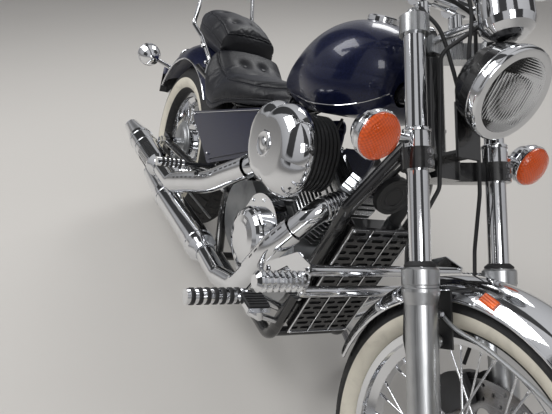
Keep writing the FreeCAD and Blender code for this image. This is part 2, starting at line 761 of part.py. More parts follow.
def rear_axle():
    """Shaft through the swingarm, with sleeves beside the hub and a head outside each arm."""
    shaft = rod(rear_hub - across * (arm_half + 28.0), rear_hub + across * (arm_half + 28.0), axle_radius)
    inner = arm_half - 8.0 - seat_gap
    outer = arm_half + 8.0 + seat_gap
    left = rod(rear_hub + across * (chain_y + 4.8), rear_hub + across * inner, 18.0)
    right = rod(rear_hub - across * inner, rear_hub - across * (REAR["hub_half"] + 16.8), 18.0)
    heads = [rod(rear_hub + across * (s * outer), rear_hub + across * (s * (outer + 18.0)), 17.0) for s in (-1, 1)]
    return joined([shaft, left, right] + heads)


def brake_plate():
    """Fixed plate that closes the drum on the right, with its cam lever and rod."""
    inner = REAR["hub_half"] + 0.8
    plate = lathe(rear_hub - across * inner, vec(0, -1, 0), [
        (0.0, 84.0), (4.0, 84.0), (6.0, 82.0), (9.0, 70.0), (15.0, 62.0), (15.7, 30.0)])
    hole = rod(rear_hub - across * (inner - 10.0), rear_hub - across * (inner + 50.0), axle_radius + running_gap)
    out = inner + 32.0
    cam = rod(rear_hub + vec(40.0, -inner - 4.0, -50.0), rear_hub + vec(40.0, -out - 4.0, -50.0), 8.0)
    lever = rod(rear_hub + vec(40.0, -out, -50.0), rear_hub + vec(30.0, -out, -112.0), 5.0)
    pull = rod(rear_hub + vec(30.0, -out, -112.0), vec(500.0, -out, 250.0), 4.0)
    return joined([plate, cam, lever, pull]).cut(hole)


# Engine

def cylinder_place(sign):
    return Placement(crank, Rotation(vec(0, 1, 0), sign * cylinder_angle))


def rounded_plate(low, high, half_x, half_y, corner):
    """Plate across a cylinder's axis with cut corners."""
    a, b = half_x, half_y
    return slab(plan(low), (-a, -b + corner), [
        (-a + corner, -b), (a - corner, -b), (a, -b + corner), (a, b - corner), (a - corner, b),
        (-a + corner, b), (-a, b - corner)], vec(0, 0, high - low))


def its_side(sign):
    """Half space in front of, or behind, the plane between the cylinders."""
    low = crank.x + 1.5 if sign > 0 else crank.x - 401.5
    return block(vec(low, -200, 300), vec(low + 400.0, 200, 900))


def finned_cylinder(sign):
    """Barrel with a stack of cooling fins, trimmed where it meets its neighbour."""
    barrel = rod(vec(0, 0, deck + seat_gap), vec(0, 0, cylinder_top), 56.0)
    first = deck + 12.0
    fins = [rounded_plate(first + i * fin_pitch, first + 4.0 + i * fin_pitch, fin_half, fin_half + 4.0, 26.0)
            for i in range(fin_count)]
    made = joined([barrel] + fins)
    made.Placement = cylinder_place(sign)
    return made.common(its_side(sign))


def cylinder_head(sign, grown=0.0):
    """Head with two grooves round it; a grown copy has none, and trims what butts against it."""
    half = fin_half + grown
    head = rounded_plate(cylinder_top + seat_gap - grown, head_top + grown, half, half + 4.0, 26.0)
    if not grown:
        for z in (cylinder_top + 18.0, cylinder_top + 36.0):
            inside = rounded_plate(z, z + 8.0, fin_half - 12.0, fin_half - 8.0, 20.0)
            head = head.cut(rounded_plate(z, z + 8.0, 90.0, 94.0, 2.0).cut(inside))
    head.Placement = cylinder_place(sign)
    return head


def head_cover(sign):
    """Stepped cover: a flange, a body and a raised lid with a spark plug's well left of the middle."""
    low = head_top + seat_gap
    tiers = ((low, low + 6.0, 4.0, 24.0), (low + 6.0, low + 16.0, 8.0, 23.0), (low + 16.0, cover_top - 5.0, 18.0, 21.0),
             (cover_top - 5.0, cover_top, 24.0, 20.0))
    made = joined([rounded_plate(a, b, fin_half - inset, fin_half + 4.0 - inset, corner)
                   for a, b, inset, corner in tiers])
    made.Placement = cylinder_place(sign)
    return made


def crankcase():
    """Case with a deck for each cylinder, a round front and the gearbox's tail."""
    lean_in = math.radians(cylinder_angle)
    foot = 66.0

    def spot(sign, out, up):
        return (crank.x + sign * (math.sin(lean_in) * up + math.cos(lean_in) * out),
                crank.z + math.cos(lean_in) * up - math.sin(lean_in) * out)

    def rel(x, z):
        return (crank.x + x, crank.z + z)

    steps = [(rel(152.0, 10.0), rel(118.0, -95.0)), rel(70.0, -case_floor), rel(-120.0, -case_floor), rel(-250.0, -110.0),
             (rel(-312.0, -40.0), rel(-290.0, 70.0)), rel(-190.0, 118.0), spot(-1, foot, deck),
             (crank.x, spot(1, -57.0, deck)[1])]
    return slab(side(-case_half), spot(1, foot, deck), steps, across * (2.0 * case_half))


def dome(centre, outward, radius, height):
    """Rounded round cover with a step near its rim."""
    return lathe(centre, outward, [
        (0.0, radius), (height * 0.42, radius), (height * 0.48, radius - 3.0), (height * 0.62, radius - 6.0),
        (height * 0.76, radius * 0.86), (height * 0.88, radius * 0.72), (height * 0.96, radius * 0.5), (height, 4.0)])


def engine_covers():
    """Clutch cover on the right; generator cover and the cover over the small sprocket on the left."""
    skin = case_half + seat_gap
    x, z = crank.x, crank.z
    right = slab(side(-skin), (x - 90.0, z + 115.0), [
        ((x + 15.0, z + 147.0), (x + 95.0, z + 65.0)), ((x + 110.0, z - 15.0), (x + 50.0, z - 97.0)),
        ((x - 40.0, z - 115.0), (x - 120.0, z - 65.0)), (x - 120.0, z + 55.0)], across * -38.0)
    centre = vec(x - 15.0, -skin - 36.0, z + 20.0)
    ridge = block(centre + vec(-9.0, -47.0, -60.0), centre + vec(9.0, -30.0, 60.0))
    clutch = joined([right, dome(centre, vec(0, -1, 0), 90.0, 50.0), ridge])
    generator = dome(vec(x - 5.0, skin, z - 10.0), across, 100.0, 62.0)
    chain_cover = slab(side(skin + 28.0), (760.0, 430.0), [
        ((700.0, 470.0), (640.0, 440.0)), ((596.0, 385.0), (620.0, 320.0)), (740.0, 290.0)], across * 12.0)
    posts = [rod(vec(px, skin, pz), vec(px, skin + 30.0, pz), 16.0) for px, pz in ((716.0, 314.0), (745.0, 400.0))]
    return [clutch] + joined([generator, chain_cover] + posts).Solids


def intake():
    """Carburettors between the cylinders, with a short pipe to each head."""
    z = crank.z + 277.0
    body = [rod(vec(crank.x, -60.0, z), vec(crank.x, 70.0, z), 33.0),
            rod(vec(crank.x, 0.0, z - 57.0), vec(crank.x, 0.0, z), 19.0)]
    pipes = [rod(vec(crank.x, 0.0, z + 4.0), vec(crank.x + s * 90.0, 0.0, z + 22.0), 17.0)
             .cut(cylinder_head(s, seat_gap)) for s in (-1, 1)]
    return joined(body + pipes)


air_base = vec(crank.x + 100.0, -108.0, crank.z + 332.0)


def egg(size):
    """Teardrop outline of the air cleaner: a large round front and a smaller round tail."""
    def rel(x, z):
        return (air_base.x + x * size, air_base.z + z * size)

    return rel(-118.0, -18.0), [
        (rel(-108.0, 58.0), rel(-30.0, 88.0)), (rel(92.0, 78.0), rel(126.0, 2.0)),
        (rel(108.0, -72.0), rel(10.0, -96.0)), (rel(-84.0, -84.0), rel(-118.0, -18.0))]


def egg_slab(y, size, deep):
    start, steps = egg(size)
    return outline(side(y), start, steps).extrude(across * -deep)


def air_cleaner_case():
    """Ribbed case behind the chromed cover, with its throat to the carburettors."""
    core = egg_slab(-112.0, 0.80, 82.0)
    ribs = [egg_slab(-114.0 - 10.6 * i, 0.84, 6.0) for i in range(8)]
    throat_z = crank.z + 277.0
    throat = rod(vec(crank.x, -60.3, throat_z), vec(crank.x + 10.0, -113.0, throat_z + 8.0), 28.0)
    throat = throat.cut(block(vec(crank.x - 200.0, -60.3, 500), vec(crank.x + 200.0, 0, 900)))
    return joined([core] + ribs + [throat])


def air_cleaner_cover():
    """Domed chromed cover lofted from the same outline at shrinking sizes."""
    wires = []
    for y, size in ((-194.5, 1.0), (-212.0, 1.0), (-236.0, 0.88), (-250.0, 0.62)):
        start, steps = egg(size)
        wires.append(outline(side(y), start, steps).OuterWire)
    return Part.makeLoft(wires, True, False)


# Exhausts

upper_path = [vec(crank.x - 118.0, -77, 615), vec(crank.x - 102.0, -rail_half - 25.0, 568),
              vec(600, -rail_half - 61.0, 425), vec(345, -rail_half - 84.0, 300), vec(190, -rail_half - 84.0, 292)]
lower_path = [vec(crank.x + 198.0, -60, 612), vec(crank.x + 210.0, -132, 590), vec(crank.x + 150.0, -rail_half - 55.0, 455),
              vec(crank.x + 72.0, -rail_half - 75.0, 292), vec(crank.x - 45.0, -rail_half - 75.0, 246),
              vec(crank.x - 200.0, -rail_half - 65.0, 236)]
upper_radius = 30.0
lower_radius = 28.0
pipe_wall = 3.0


def silencer(start, end, body, tip, rings):
    """Long silencer: a cone in, raised rings, a taper and an open tip."""
    length = (end - start).Length
    rows = [(0.0, 30.0), (12.0, body)]
    for share in rings:
        here = length * share
        rows += [(here, body), (here + 1.5, body + 2.0), (here + 16.0, body + 2.0), (here + 17.5, body)]
    rows += [(length * 0.66, body), (length - 8.0, tip), (length, tip - 3.0)]
    hollow = lathe(start, end - start, [(length * 0.5, tip - 6.0), (length + 1.0, tip - 5.0)])
    return lathe(start, end - start, rows).cut(hollow)


def port_side():
    """Both heads, cylinders and the case of the engine, which the pipes butt against."""
    return joined([cylinder_head(1), finned_cylinder(1)]), joined([cylinder_head(-1), finned_cylinder(-1)])


def header(points, radius, bend, heads):
    pipe = bent(points, radius, bend).cut(bent(points, radius - pipe_wall, bend))
    for head in heads:
        pipe = pipe.cut(head)
    return pipe


def exhaust_headers():
    heads = port_side()
    return [header(upper_path, upper_radius, 62.0, heads), header(lower_path, lower_radius, 56.0, heads)]


def silencers():
    upper = upper_path[-1]
    lower = lower_path[-1]
    return [silencer(upper - vec(0.5, 0, 0), vec(-280.0, upper.y, 274.0), 47.0, 30.0, (0.42, 0.60)),
            silencer(lower - vec(1.5, 0, 0), vec(20.0, lower.y + 8.0, 196.0), 46.0, 30.0, (0.06, 0.60))]


# Radiator and horn

guard_place = Placement(vec(1143.0, 0.0, 420.0), Rotation(vec(0, 1, 0), 15.4))


def radiator():
    """Core with its tanks, hung between the downtubes by four lugs."""
    core = block(vec(-46.0, -76.0, -150.0), vec(-8.0, 76.0, 140.0))
    top = block(vec(-50.0, -guard_inner, 140.0), vec(-6.0, guard_inner, 172.0))
    low = block(vec(-50.0, -guard_inner, -180.0), vec(-6.0, guard_inner, -150.0))
    neck = rod(vec(-28.0, 40.0, 168.0), vec(-28.0, 40.0, 190.0), 18.0)
    lugs = [rod(vec(-38.0, -110.0, z), vec(-38.0, 110.0, z), 7.0) for z in (-110.0, 120.0)]
    made = joined([core, top, low, neck] + lugs)
    made.Placement = guard_place
    return made.cut(joined(pair(cradle_loop(seat_gap))))


def long_slot(y, z, half_long, half_tall):
    """Cutter for a slot with round ends, through the guard's plate."""
    run = half_long - half_tall
    middle = block(vec(-6.0, y - run, z - half_tall), vec(2.0, y + run, z + half_tall))
    ends = [rod(vec(-6.0, y + s * run, z), vec(2.0, y + s * run, z), half_tall) for s in (-1, 1)]
    return joined([middle] + ends)


def radiator_guard():
    """Plate with staggered rows of long slots in front of the radiator, hung on its tanks by two flanges."""
    plate = block(vec(-4.0, -guard_half, -guard_tall), vec(0.0, guard_half, guard_tall))
    near = guard_inner + seat_gap
    flanges = [block(vec(-30.0, y, -guard_tall), vec(-4.0, y + 3.0, guard_tall)) for y in (-near - 3.0, near)]
    rows = 18
    pitch = 42.0
    slots = []
    for row in range(rows):
        z = -guard_tall + 18.0 + row * (2.0 * guard_tall - 36.0) / (rows - 1)
        places = (-1.5, -0.5, 0.5, 1.5) if row % 2 else (-1.0, 0.0, 1.0)
        slots += [long_slot(place * pitch, z, 17.0, 5.0) for place in places]
        if not row % 2:
            slots += [long_slot(s * pitch * 1.82, z, 9.0, 5.0) for s in (-1, 1)]
    made = joined([plate.cut(Part.makeCompound(slots))] + flanges)
    made.Placement = guard_place
    return made


def radiator_hose():
    """Hose from the radiator's neck back to the front cylinder's head."""
    start = guard_place.multVec(vec(-28.0, 40.0, 190.0 + seat_gap))
    up = guard_place.Rotation.multVec(vec(0, 0, 1))
    hose = bent([start, start + up * 70.0, vec(1092.0, 40.0, 700.0)], 15.0, 45.0)
    return hose.cut(cylinder_head(1)).cut(head_cover(1))


def horn():
    """Horn with a ringed face on a bracket from the head."""
    spot = vec(1196.0, -14.0, 682.0)
    shell = lathe(spot, vec(-1, 0, 0.1), [
        (2.0, 20.0), (0.0, 22.0), (2.0, 26.0), (2.0, 34.0), (0.0, 36.0), (0.0, 44.0), (8.0, 46.0), (14.0, 46.0),
        (26.0, 28.0), (38.0, 14.0)])
    throat = fork_point(0.0, 0.0, 1000.0)
    bracket = bent([spot + vec(-30.0, 0, 3.0), spot + vec(-50.0, 0, 5.0), vec(throat.x - 20.0, 0.0, throat.z - 30.0)],
                   5.0, 10.0)
    return joined([shell, bracket]).cut(main_frame())


# Tank, seats and fender

def tank_section(x, half, low, widest, top):
    """Closed section: upright ellipse quarters above and below the widest line, over a flat floor."""
    narrow = half * 0.72
    edges = []
    for sign in (-1.0, 1.0):
        upper = (vec(x, sign * half, widest), vec(x, sign * half * 0.76, widest + (top - widest) * 0.70),
                 vec(x, 0.0, top))
        lower = (vec(x, sign * narrow, low), vec(x, sign * half * 0.955, low + (widest - low) * 0.42),
                 vec(x, sign * half, widest))
        edges += [Part.Arc(*upper).toShape(), Part.Arc(*lower).toShape()]
    edges.append(Part.LineSegment(vec(x, -narrow, low), vec(x, narrow, low)).toShape())
    return Part.Wire(Part.__sortEdges__(edges))


def tank_body():
    rows = ((655.0, 44.0, 768.0, 790.0, 812.0), (740.0, 96.0, 757.0, 820.0, 905.0),
            (865.0, 140.0, 765.0, 868.0, 990.0), (985.0, 144.0, 788.0, 890.0, 1012.0),
            (1062.0, 92.0, 822.0, 905.0, 988.0), (1092.0, 40.0, 862.0, 905.0, 952.0))
    return Part.makeLoft([tank_section(*row) for row in rows], True, False)


def fuel_tank():
    """Tank over the frame's spine, with a tunnel for it and for the steering head."""
    tunnel = bent(spine_points(), spine_radius + tunnel_gap, spine_bend)
    neck = on_fork(rod(vec(0, 0, clamp_low), vec(0, 0, fork_top), head_radius + tunnel_gap))
    crown = on_fork(rod(vec(0, 0, crown_low - 8.0), vec(0, 0, fork_top + 20.0), crown_sweep))
    return tank_body().cut(joined([tunnel, neck, crown]))


def fuel_cap():
    cap = lathe(vec(926.0, 0.0, 1006.0), vec(-0.12, 0, 0.99), [
        (0.0, 34.0), (4.0, 38.0), (14.0, 38.0), (17.0, 35.0), (19.0, 28.0), (20.0, 12.0)])
    return cap.cut(fuel_tank())


def seat_section(x, half, low, top, pan, inner):
    """Section of a padded seat: a pan between two skirts, bulged sides and a crowned top."""
    middle = low + (top - low) * 0.5
    shoulder = half * 0.84
    return outline(lambda u, v: vec(x, u, v), (-inner, pan), [
        (inner, pan), (inner, low), (half * 0.96, low), ((half, middle), (shoulder, top - 12.0)),
        ((0.0, top + 4.0), (-shoulder, top - 12.0)), ((-half, middle), (-half * 0.96, low)), (-inner, low)]).OuterWire


seat_step = 235.0               # where the rider's seat meets the passenger's


def rider_seat():
    """Bucket seat with skirts down over the seat rails, cut to sit on the tubes."""
    top = fender_top
    rows = ((seat_step, 130.0, 700.0 - 728.0 + top, top + 42.0, top - 26.0, 118.0),
            (275.0, 144.0, 622.0, top + 27.0, 668.0, 133.0), (330.0, 147.0, 585.0, 730.0, 667.0, 134.5),
            (450.0, 146.0, 628.0, 733.0, 668.0, 134.5), (560.0, 122.0, 667.0, 750.0, 684.0, 110.0),
            (660.0, 86.0, 702.0, 774.0, 717.0, 74.0), (725.0, 66.0, 732.0, 792.0, 744.0, 54.0))
    seat = Part.makeLoft([seat_section(*row) for row in rows], True, False)
    return seat.cut(tank_body()).cut(tubes_to_clear())


def pillion_section(x, half, low, top, keel):
    """Section of the passenger's pad: a keel that stands on the fender, raised flanks and a crowned top."""
    middle = low + (top - low) * 0.45
    shoulder = half * 0.82
    return outline(lambda u, v: vec(x, u, v), (-50.0, keel), [
        (50.0, keel), (half * 0.9, low), ((half, middle), (shoulder, top - 10.0)),
        ((0.0, top + 4.0), (-shoulder, top - 10.0)), ((-half, middle), (-half * 0.9, low))]).OuterWire


def pillion_seat():
    top = fender_top
    rows = ((-118.0, 68.0, top + 30.0, top + 108.0, top - 22.0), (-20.0, 98.0, top + 30.0, top + 128.0, top - 14.0),
            (110.0, 111.0, top + 30.0, top + 128.0, top - 14.0),
            (seat_step - seat_gap, 106.0, top + 20.0, top + 98.0, top - 6.0))
    return Part.makeLoft([pillion_section(*row) for row in rows], True, False).cut(fender_core())


def rear_fender():
    return at(arch(rear_fender_radius, rear_fender_half, rear_fender_drop, 3.0, 48.0, 106.0), rear_hub)


def fender_core():
    """Thick copy of the rear fender, to trim what stands on it."""
    return at(arch(rear_fender_radius + seat_gap, rear_fender_half, rear_fender_drop, 60.0, 40.0, 130.0), rear_hub)


def sissy_bar():
    """Hoop from the seat rails, forward of the passenger's pad, back and up behind it."""
    y = rail_half
    right = [vec(215, -y, rail_up - 8.0), vec(215, -y, fender_top - 16.0), vec(90, -y, fender_top + 34.0),
             vec(-34, -y, fender_top + 58.0), vec(-78, -y + 37.0, fender_top + 272.0)]
    hoop = bent(right + [vec(p.x, -p.y, p.z) for p in reversed(right)], 8.0, 26.0)
    return hoop.cut(tubes_to_clear())


tail_spot = on_rear(rear_fender_radius + 14.4, 140.65)


def tail_lamp():
    """Round lamp on the fender, over the blank number plate and its bracket."""
    lamp = lathe(tail_spot, vec(-0.97, 0, 0.2), [
        (0.0, 42.0), (4.0, 46.0), (20.0, 46.0), (24.0, 43.0), (34.0, 38.0), (40.0, 26.0), (42.0, 10.0)])
    sign = block(tail_spot + vec(-61.0, -90.0, -170.0), tail_spot + vec(-58.0, 90.0, -60.0))
    arm = block(tail_spot + vec(-59.0, -25.0, -85.0), tail_spot + vec(-8.0, 25.0, -75.0))
    post = block(tail_spot + vec(-48.0, -12.0, -80.0), tail_spot + vec(-23.0, 12.0, -15.0))
    return joined([lamp, sign, arm, post]).cut(fender_core())


def rear_indicator_spots():
    return [tail_spot + vec(61.0, s * (rear_fender_half + 88.0), 6.0) for s in (-1.0, 1.0)]


def rear_indicators():
    made = []
    for centre in rear_indicator_spots():
        inward = math.copysign(rear_fender_half - 12.0, centre.y)
        root = on_rear(rear_fender_radius - 66.8, 135.7, inward)
        made.append(indicator_body(centre, vec(-1, 0, 0), root).cut(fender_core()))
    return made


def rear_indicator_lenses():
    return [indicator_lens(centre, vec(-1, 0, 0)) for centre in rear_indicator_spots()]


def side_cover():
    """Cover under the seat, with a crease below its upper edge, cut away round the exhaust."""
    def panel(shrink, y, deep):
        return slab(side(y), (207.0 + shrink, 522.0), [
            (718.0 - shrink * 0.5, 709.0 - shrink * 1.3), ((742.0 - shrink, 700.0 - shrink), (748.0 - shrink, 674.0)),
            ((748.0 - shrink, 610.0), (700.0 - shrink, 556.0 + shrink * 0.6)),
            (452.0, 428.0 + shrink), ((430.0, 419.0 + shrink), (406.0, 428.0 + shrink)),
            (214.0 + shrink, 506.0), ((206.0 + shrink, 514.0), (207.0 + shrink, 522.0))], across * deep)

    skin = joined([panel(0.0, cover_skin, 6.0), panel(14.0, cover_skin + 6.0, 4.0)])
    pipe = mirrored(bent(upper_path, upper_radius + 5.0, 62.0))
    return skin.cut(pipe)


def battery_box():
    half = upright_half - pipe_radius - seat_gap
    return block(vec(500.0, -half, 465.0), vec(645.0, half, 540.0))


# Foot controls, bars and stand

bar_x = 1250.0                  # highway bars
bar_ends = 211.0
highway_heights = (474.0, 527.0)


def highway_bars():
    """Two bars across the front with a slotted plate and a ribbed peg at each end."""
    tubes = [rod(vec(bar_x, -bar_ends, z), vec(bar_x, bar_ends, z), 12.0) for z in highway_heights]
    plates = []
    for s in (-1, 1):
        plate = slab(side(s * bar_ends), (bar_x + 6.0, 544.0), [
            ((bar_x + 16.0, 500.0), (bar_x + 6.0, 456.0)), (1215.0, 448.0), (1100.0, 428.0),
            ((1092.0, 441.0), (1100.0, 454.0)), (1200.0, 540.0)], across * (s * 6.0))
        slot = slab(side(s * (bar_ends - 1.0)), (1150.0, 462.0), [
            (1205.0, 470.0), ((1216.0, 482.0), (1205.0, 494.0)), (1180.0, 494.0)], across * (s * 8.0))
        plates.append(plate.cut(slot))
    arms = [rod(vec(1108.0, s * 105.0, 441.0), vec(1108.0, s * (bar_ends + 0.5), 441.0), 9.0) for s in (-1, 1)]
    rows = [(0.0, 12.0), (4.0, 22.0)]
    for i in range(7):
        first = 10.0 + i * 14.0
        rows += [(first, 22.0), (first + 3.0, 17.0), (first + 8.0, 17.0), (first + 11.0, 22.0)]
    pegs = pair(lathe(vec(bar_x, -bar_ends - 5.5, 500.0), vec(0, -1, 0), rows + [(112.0, 14.0)]))
    return joined(tubes + plates + arms + pegs).cut(joined(pair(cradle_loop(seat_gap))))


def foot_controls():
    """Rider's and passengers' pegs, and the brake pedal and gear lever on pins by the cradle."""
    rider = rod(vec(1080.0, -235.0, 345.0), vec(1080.0, -385.0, 345.0), 18.0)
    arm = bent([vec(1080.0, -236.0, 345.0), vec(1076.0, -190.0, 335.0), vec(1066.0, -124.0, 300.0)], 11.0, 26.0)
    run = bent([vec(1086, -215, 300), vec(1150, -220, 330), vec(1190, -262, 400)], 7.0, 30.0)
    pin = rod(vec(1086, -215, 300), vec(1072, -124.6, 262), 8.0)
    pad = block(vec(1160.0, -300.0, 396.0), vec(1215.0, -245.0, 408.0))
    toe = rod(vec(1190.0, -255.0, 400.0), vec(1190.0, -310.0, 400.0), 11.0)
    passenger = rod(vec(486.0, -233.0 - seat_gap, 428.0), vec(486.0, -320.0, 428.0), 14.0)
    tubes = joined(pair(cradle_loop(seat_gap)))
    front = joined([rider, arm]).cut(tubes)
    brake = joined([run, pin, pad]).cut(tubes)
    gear = joined([run, pin, toe]).cut(tubes)
    return pair(front) + [brake, mirrored(gear)] + pair(passenger)


stand_pivot = vec(985.0, 148.0, 205.0)
stand_foot = vec(1005.0, 292.0, 0.0)
steered = Placement(steer_foot, Rotation(steer_axis, steer)).multiply(Placement(steer_foot * -1.0, Rotation()))


def lowest(turn, centre, axle, w):
    """Height of a leaned tyre's lowest point: its crown is a round section swept round a circle."""
    axle = turn.multVec(axle)
    ring = w["radius"] - w["crown"]
    return turn.multVec(centre).z - ring * math.sqrt(1.0 - axle.z ** 2) - w["crown"]


def pose():
    """Placement that leans the machine to the left, pitches it and drops both tyres to the floor."""
    pitch = 0.0
    for _ in range(12):
        turn = Rotation(across, pitch).multiply(Rotation(vec(1, 0, 0), -lean))
        rear = lowest(turn, rear_hub, across, REAR)
        front = lowest(turn, steered.multVec(front_hub), steered.Rotation.multVec(across), FRONT)
        pitch += math.degrees((front - rear) / wheelbase)
    return Placement(vec(0, 0, -rear), turn)


upright = pose()


def stand_foot_point():
    """Where the stand's foot meets the floor under the leaned machine."""
    back = upright.inverse()
    floor_up = back.Rotation.multVec(vec(0, 0, 1))
    origin = back.multVec(vec(0, 0, 0))
    return stand_foot + vec(0, 0, (origin - stand_foot).dot(floor_up) / floor_up.z)


def stand_hinge():
    """Folding axis: square to the leg and to the folded leg, which lies back along the rail."""
    down = (stand_foot_point() - stand_pivot).normalize()
    folded = vec(-1.0, 0.06, 0.02)
    return down.cross(folded).normalize()


def side_stand():
    """Leg from its pivot on the left cradle rail to a foot that lies flat on the floor."""
    floor_up = upright.inverse().Rotation.multVec(vec(0, 0, 1))
    foot = stand_foot_point()
    hinge = stand_hinge()
    pad = Part.makeCylinder(26.0, 8.0, foot, floor_up)
    leg = rod(stand_pivot, foot + floor_up * 6.0, 9.5)
    eye = Part.makeCylinder(17.0, 20.0, stand_pivot - hinge * 10.0, hinge)
    hole = Part.makeCylinder(pin_radius + running_gap, 60.0, stand_pivot - hinge * 30.0, hinge)
    return joined([leg, pad, eye]).cut(hole)


def stand_bracket():
    """Forked lug on the cradle with the stand's pin."""
    hinge = stand_hinge()
    pin = Part.makeCylinder(pin_radius, 42.0, stand_pivot - hinge * 21.0, hinge)
    cheeks = [Part.makeCylinder(15.0, 8.0, stand_pivot + hinge * (s * 15.5 - 4.0), hinge) for s in (-1, 1)]
    arms = [rod(stand_pivot + hinge * (s * 15.5), vec(stand_pivot.x + s * 10.0, downtube_half, cradle_height), 6.0)
            for s in (-1, 1)]
    eye = Part.makeCylinder(24.0, 22.6, stand_pivot - hinge * 11.3, hinge)
    return joined([joined(cheeks + arms).cut(eye), pin])


NODES = [
    ("main_frame", "frame", main_frame),
    ("swingarm", "frame", swingarm),
    ("rear_axle", "frame", rear_axle),
    ("brake_plate", "frame", brake_plate),
    ("crankcase", "frame", crankcase),
    ("cylinders", "frame", lambda: [finned_cylinder(1), finned_cylinder(-1)]),
    ("cylinder_heads", "frame", lambda: [cylinder_head(1), cylinder_head(-1)]),
    ("head_covers", "frame", lambda: [head_cover(1), head_cover(-1)]),
    ("engine_covers", "frame", engine_covers),
    ("intake", "frame", intake),
    ("air_cleaner_case", "frame", air_cleaner_case),
    ("air_cleaner_cover", "frame", air_cleaner_cover),
    ("exhaust_headers", "frame", exhaust_headers),
    ("silencers", "frame", silencers),
    ("radiator", "frame", radiator),
    ("radiator_guard", "frame", radiator_guard),
    ("radiator_hose", "frame", radiator_hose),
    ("horn", "frame", horn),
    ("fuel_tank", "frame", fuel_tank),
    ("fuel_cap", "frame", fuel_cap),
    ("rider_seat", "frame", rider_seat),
    ("pillion_seat", "frame", pillion_seat),
    ("rear_fender", "frame", rear_fender),
    ("sissy_bar", "frame", sissy_bar),
    ("tail_lamp", "frame", tail_lamp),
    ("rear_indicators", "frame", rear_indicators),
    ("rear_indicator_lenses", "frame", rear_indicator_lenses),
    ("side_covers", "frame", lambda: pair(side_cover())),
    ("battery_box", "frame", battery_box),
    ("highway_bars", "frame", highway_bars),
    ("foot_controls", "frame", foot_controls),
    ("drive_chain", "frame", drive_chain),
    ("fork_tubes", "fork", fork_tubes),
    ("fork_sliders", "fork", sliders),
    ("lower_clamp", "fork", lower_clamp),
    ("upper_clamp", "fork", upper_clamp),
    ("handlebar", "fork", handlebar),
    ("grips", "fork", grips),
    ("hand_controls", "fork", hand_controls),
    ("mirrors", "fork", mirrors),
    ("speedometer", "fork", speedometer),
    ("headlight_shell", "fork", headlight_shell),
    ("headlight_lens", "fork", headlight_lens),
    ("headlight_bracket", "fork", headlight_bracket),
    ("front_indicators", "fork", front_indicators),
    ("front_indicator_lenses", "fork", front_indicator_lenses),
    ("front_fender", "fork", front_fender),
    ("front_fender_bracket", "fork", front_fender_bracket),
    ("front_axle", "fork", front_axle),
    ("brake_caliper", "fork", caliper),
    ("brake_hose", "fork", brake_hose),
    ("speedometer_cable", "fork", speedometer_cable),
    ("front_tyre", "front_wheel", lambda: at(tyre(FRONT), front_hub)),
    ("front_rim", "front_wheel", lambda: at(wire_wheel(FRONT), front_hub)),
    ("brake_disc", "front_wheel", lambda: at(brake_disc(), front_hub)),
    ("rear_tyre", "rear_wheel", lambda: at(tyre(REAR), rear_hub)),
    ("rear_rim", "rear_wheel", lambda: at(wire_wheel(REAR), rear_hub)),
    ("sprocket", "rear_wheel", lambda: at(sprocket(), rear_hub)),
    ("side_stand", "side_stand", side_stand),
]
STEERED = ("fork", "front_wheel")


def settled(shape, body):
    """Copy of a shape, steered if its body steers, leaned and set on the floor."""
    place = upright.multiply(steered) if body in STEERED else upright
    return shape.transformed(place.Matrix, True)


def build():
    made = []
    for name, body, maker in NODES:
        shape = maker()
        solids = shape if isinstance(shape, list) else [shape]
        made.append((name, body, Part.makeCompound([settled(s, body) for s in solids])))
    return made


def export():
    """Writes a STEP file for each node, centred on the whole object's box."""
    os.makedirs("parts", exist_ok=True)
    made = build()
    whole = FreeCAD.BoundBox()
    for name, body, shape in made:
        whole.add(shape.optimalBoundingBox(False, False))
    shift = vec(-whole.Center.x, -whole.Center.y, 0.0)
    for name, body, shape in made:
        shape.translate(shift)
        shape.exportStep("parts/" + name + ".step")
    return made, whole


if __name__ == "__main__":
    export()
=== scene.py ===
import json
import math

import bmesh
import bpy
import numpy as np
from bpy.props import FloatProperty, FloatVectorProperty, IntProperty, PointerProperty
from mathutils import Matrix, Vector
from mathutils.bvhtree import BVHTree


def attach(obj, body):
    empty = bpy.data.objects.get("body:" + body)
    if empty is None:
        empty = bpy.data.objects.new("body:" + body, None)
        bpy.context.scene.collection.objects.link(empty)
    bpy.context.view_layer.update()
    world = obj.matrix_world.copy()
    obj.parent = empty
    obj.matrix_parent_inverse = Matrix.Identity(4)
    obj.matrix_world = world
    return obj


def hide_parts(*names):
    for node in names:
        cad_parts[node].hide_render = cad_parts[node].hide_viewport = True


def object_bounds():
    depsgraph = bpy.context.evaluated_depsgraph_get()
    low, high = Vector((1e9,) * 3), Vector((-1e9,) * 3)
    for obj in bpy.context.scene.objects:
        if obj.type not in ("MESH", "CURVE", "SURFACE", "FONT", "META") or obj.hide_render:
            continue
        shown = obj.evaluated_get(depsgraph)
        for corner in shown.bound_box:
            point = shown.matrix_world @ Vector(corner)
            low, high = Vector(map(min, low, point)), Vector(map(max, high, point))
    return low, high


bl_info = {
    "name": "Cruiser Motorcycle",
    "version": (1, 0, 0),
    "blender": (4, 5, 0),
    "location": "3D View > Sidebar > Motorcycle",
    "description": "Dresses the cruiser's solids: paint, chrome, leather, tyres, lamps and fittings",
    "category": "Object",
}

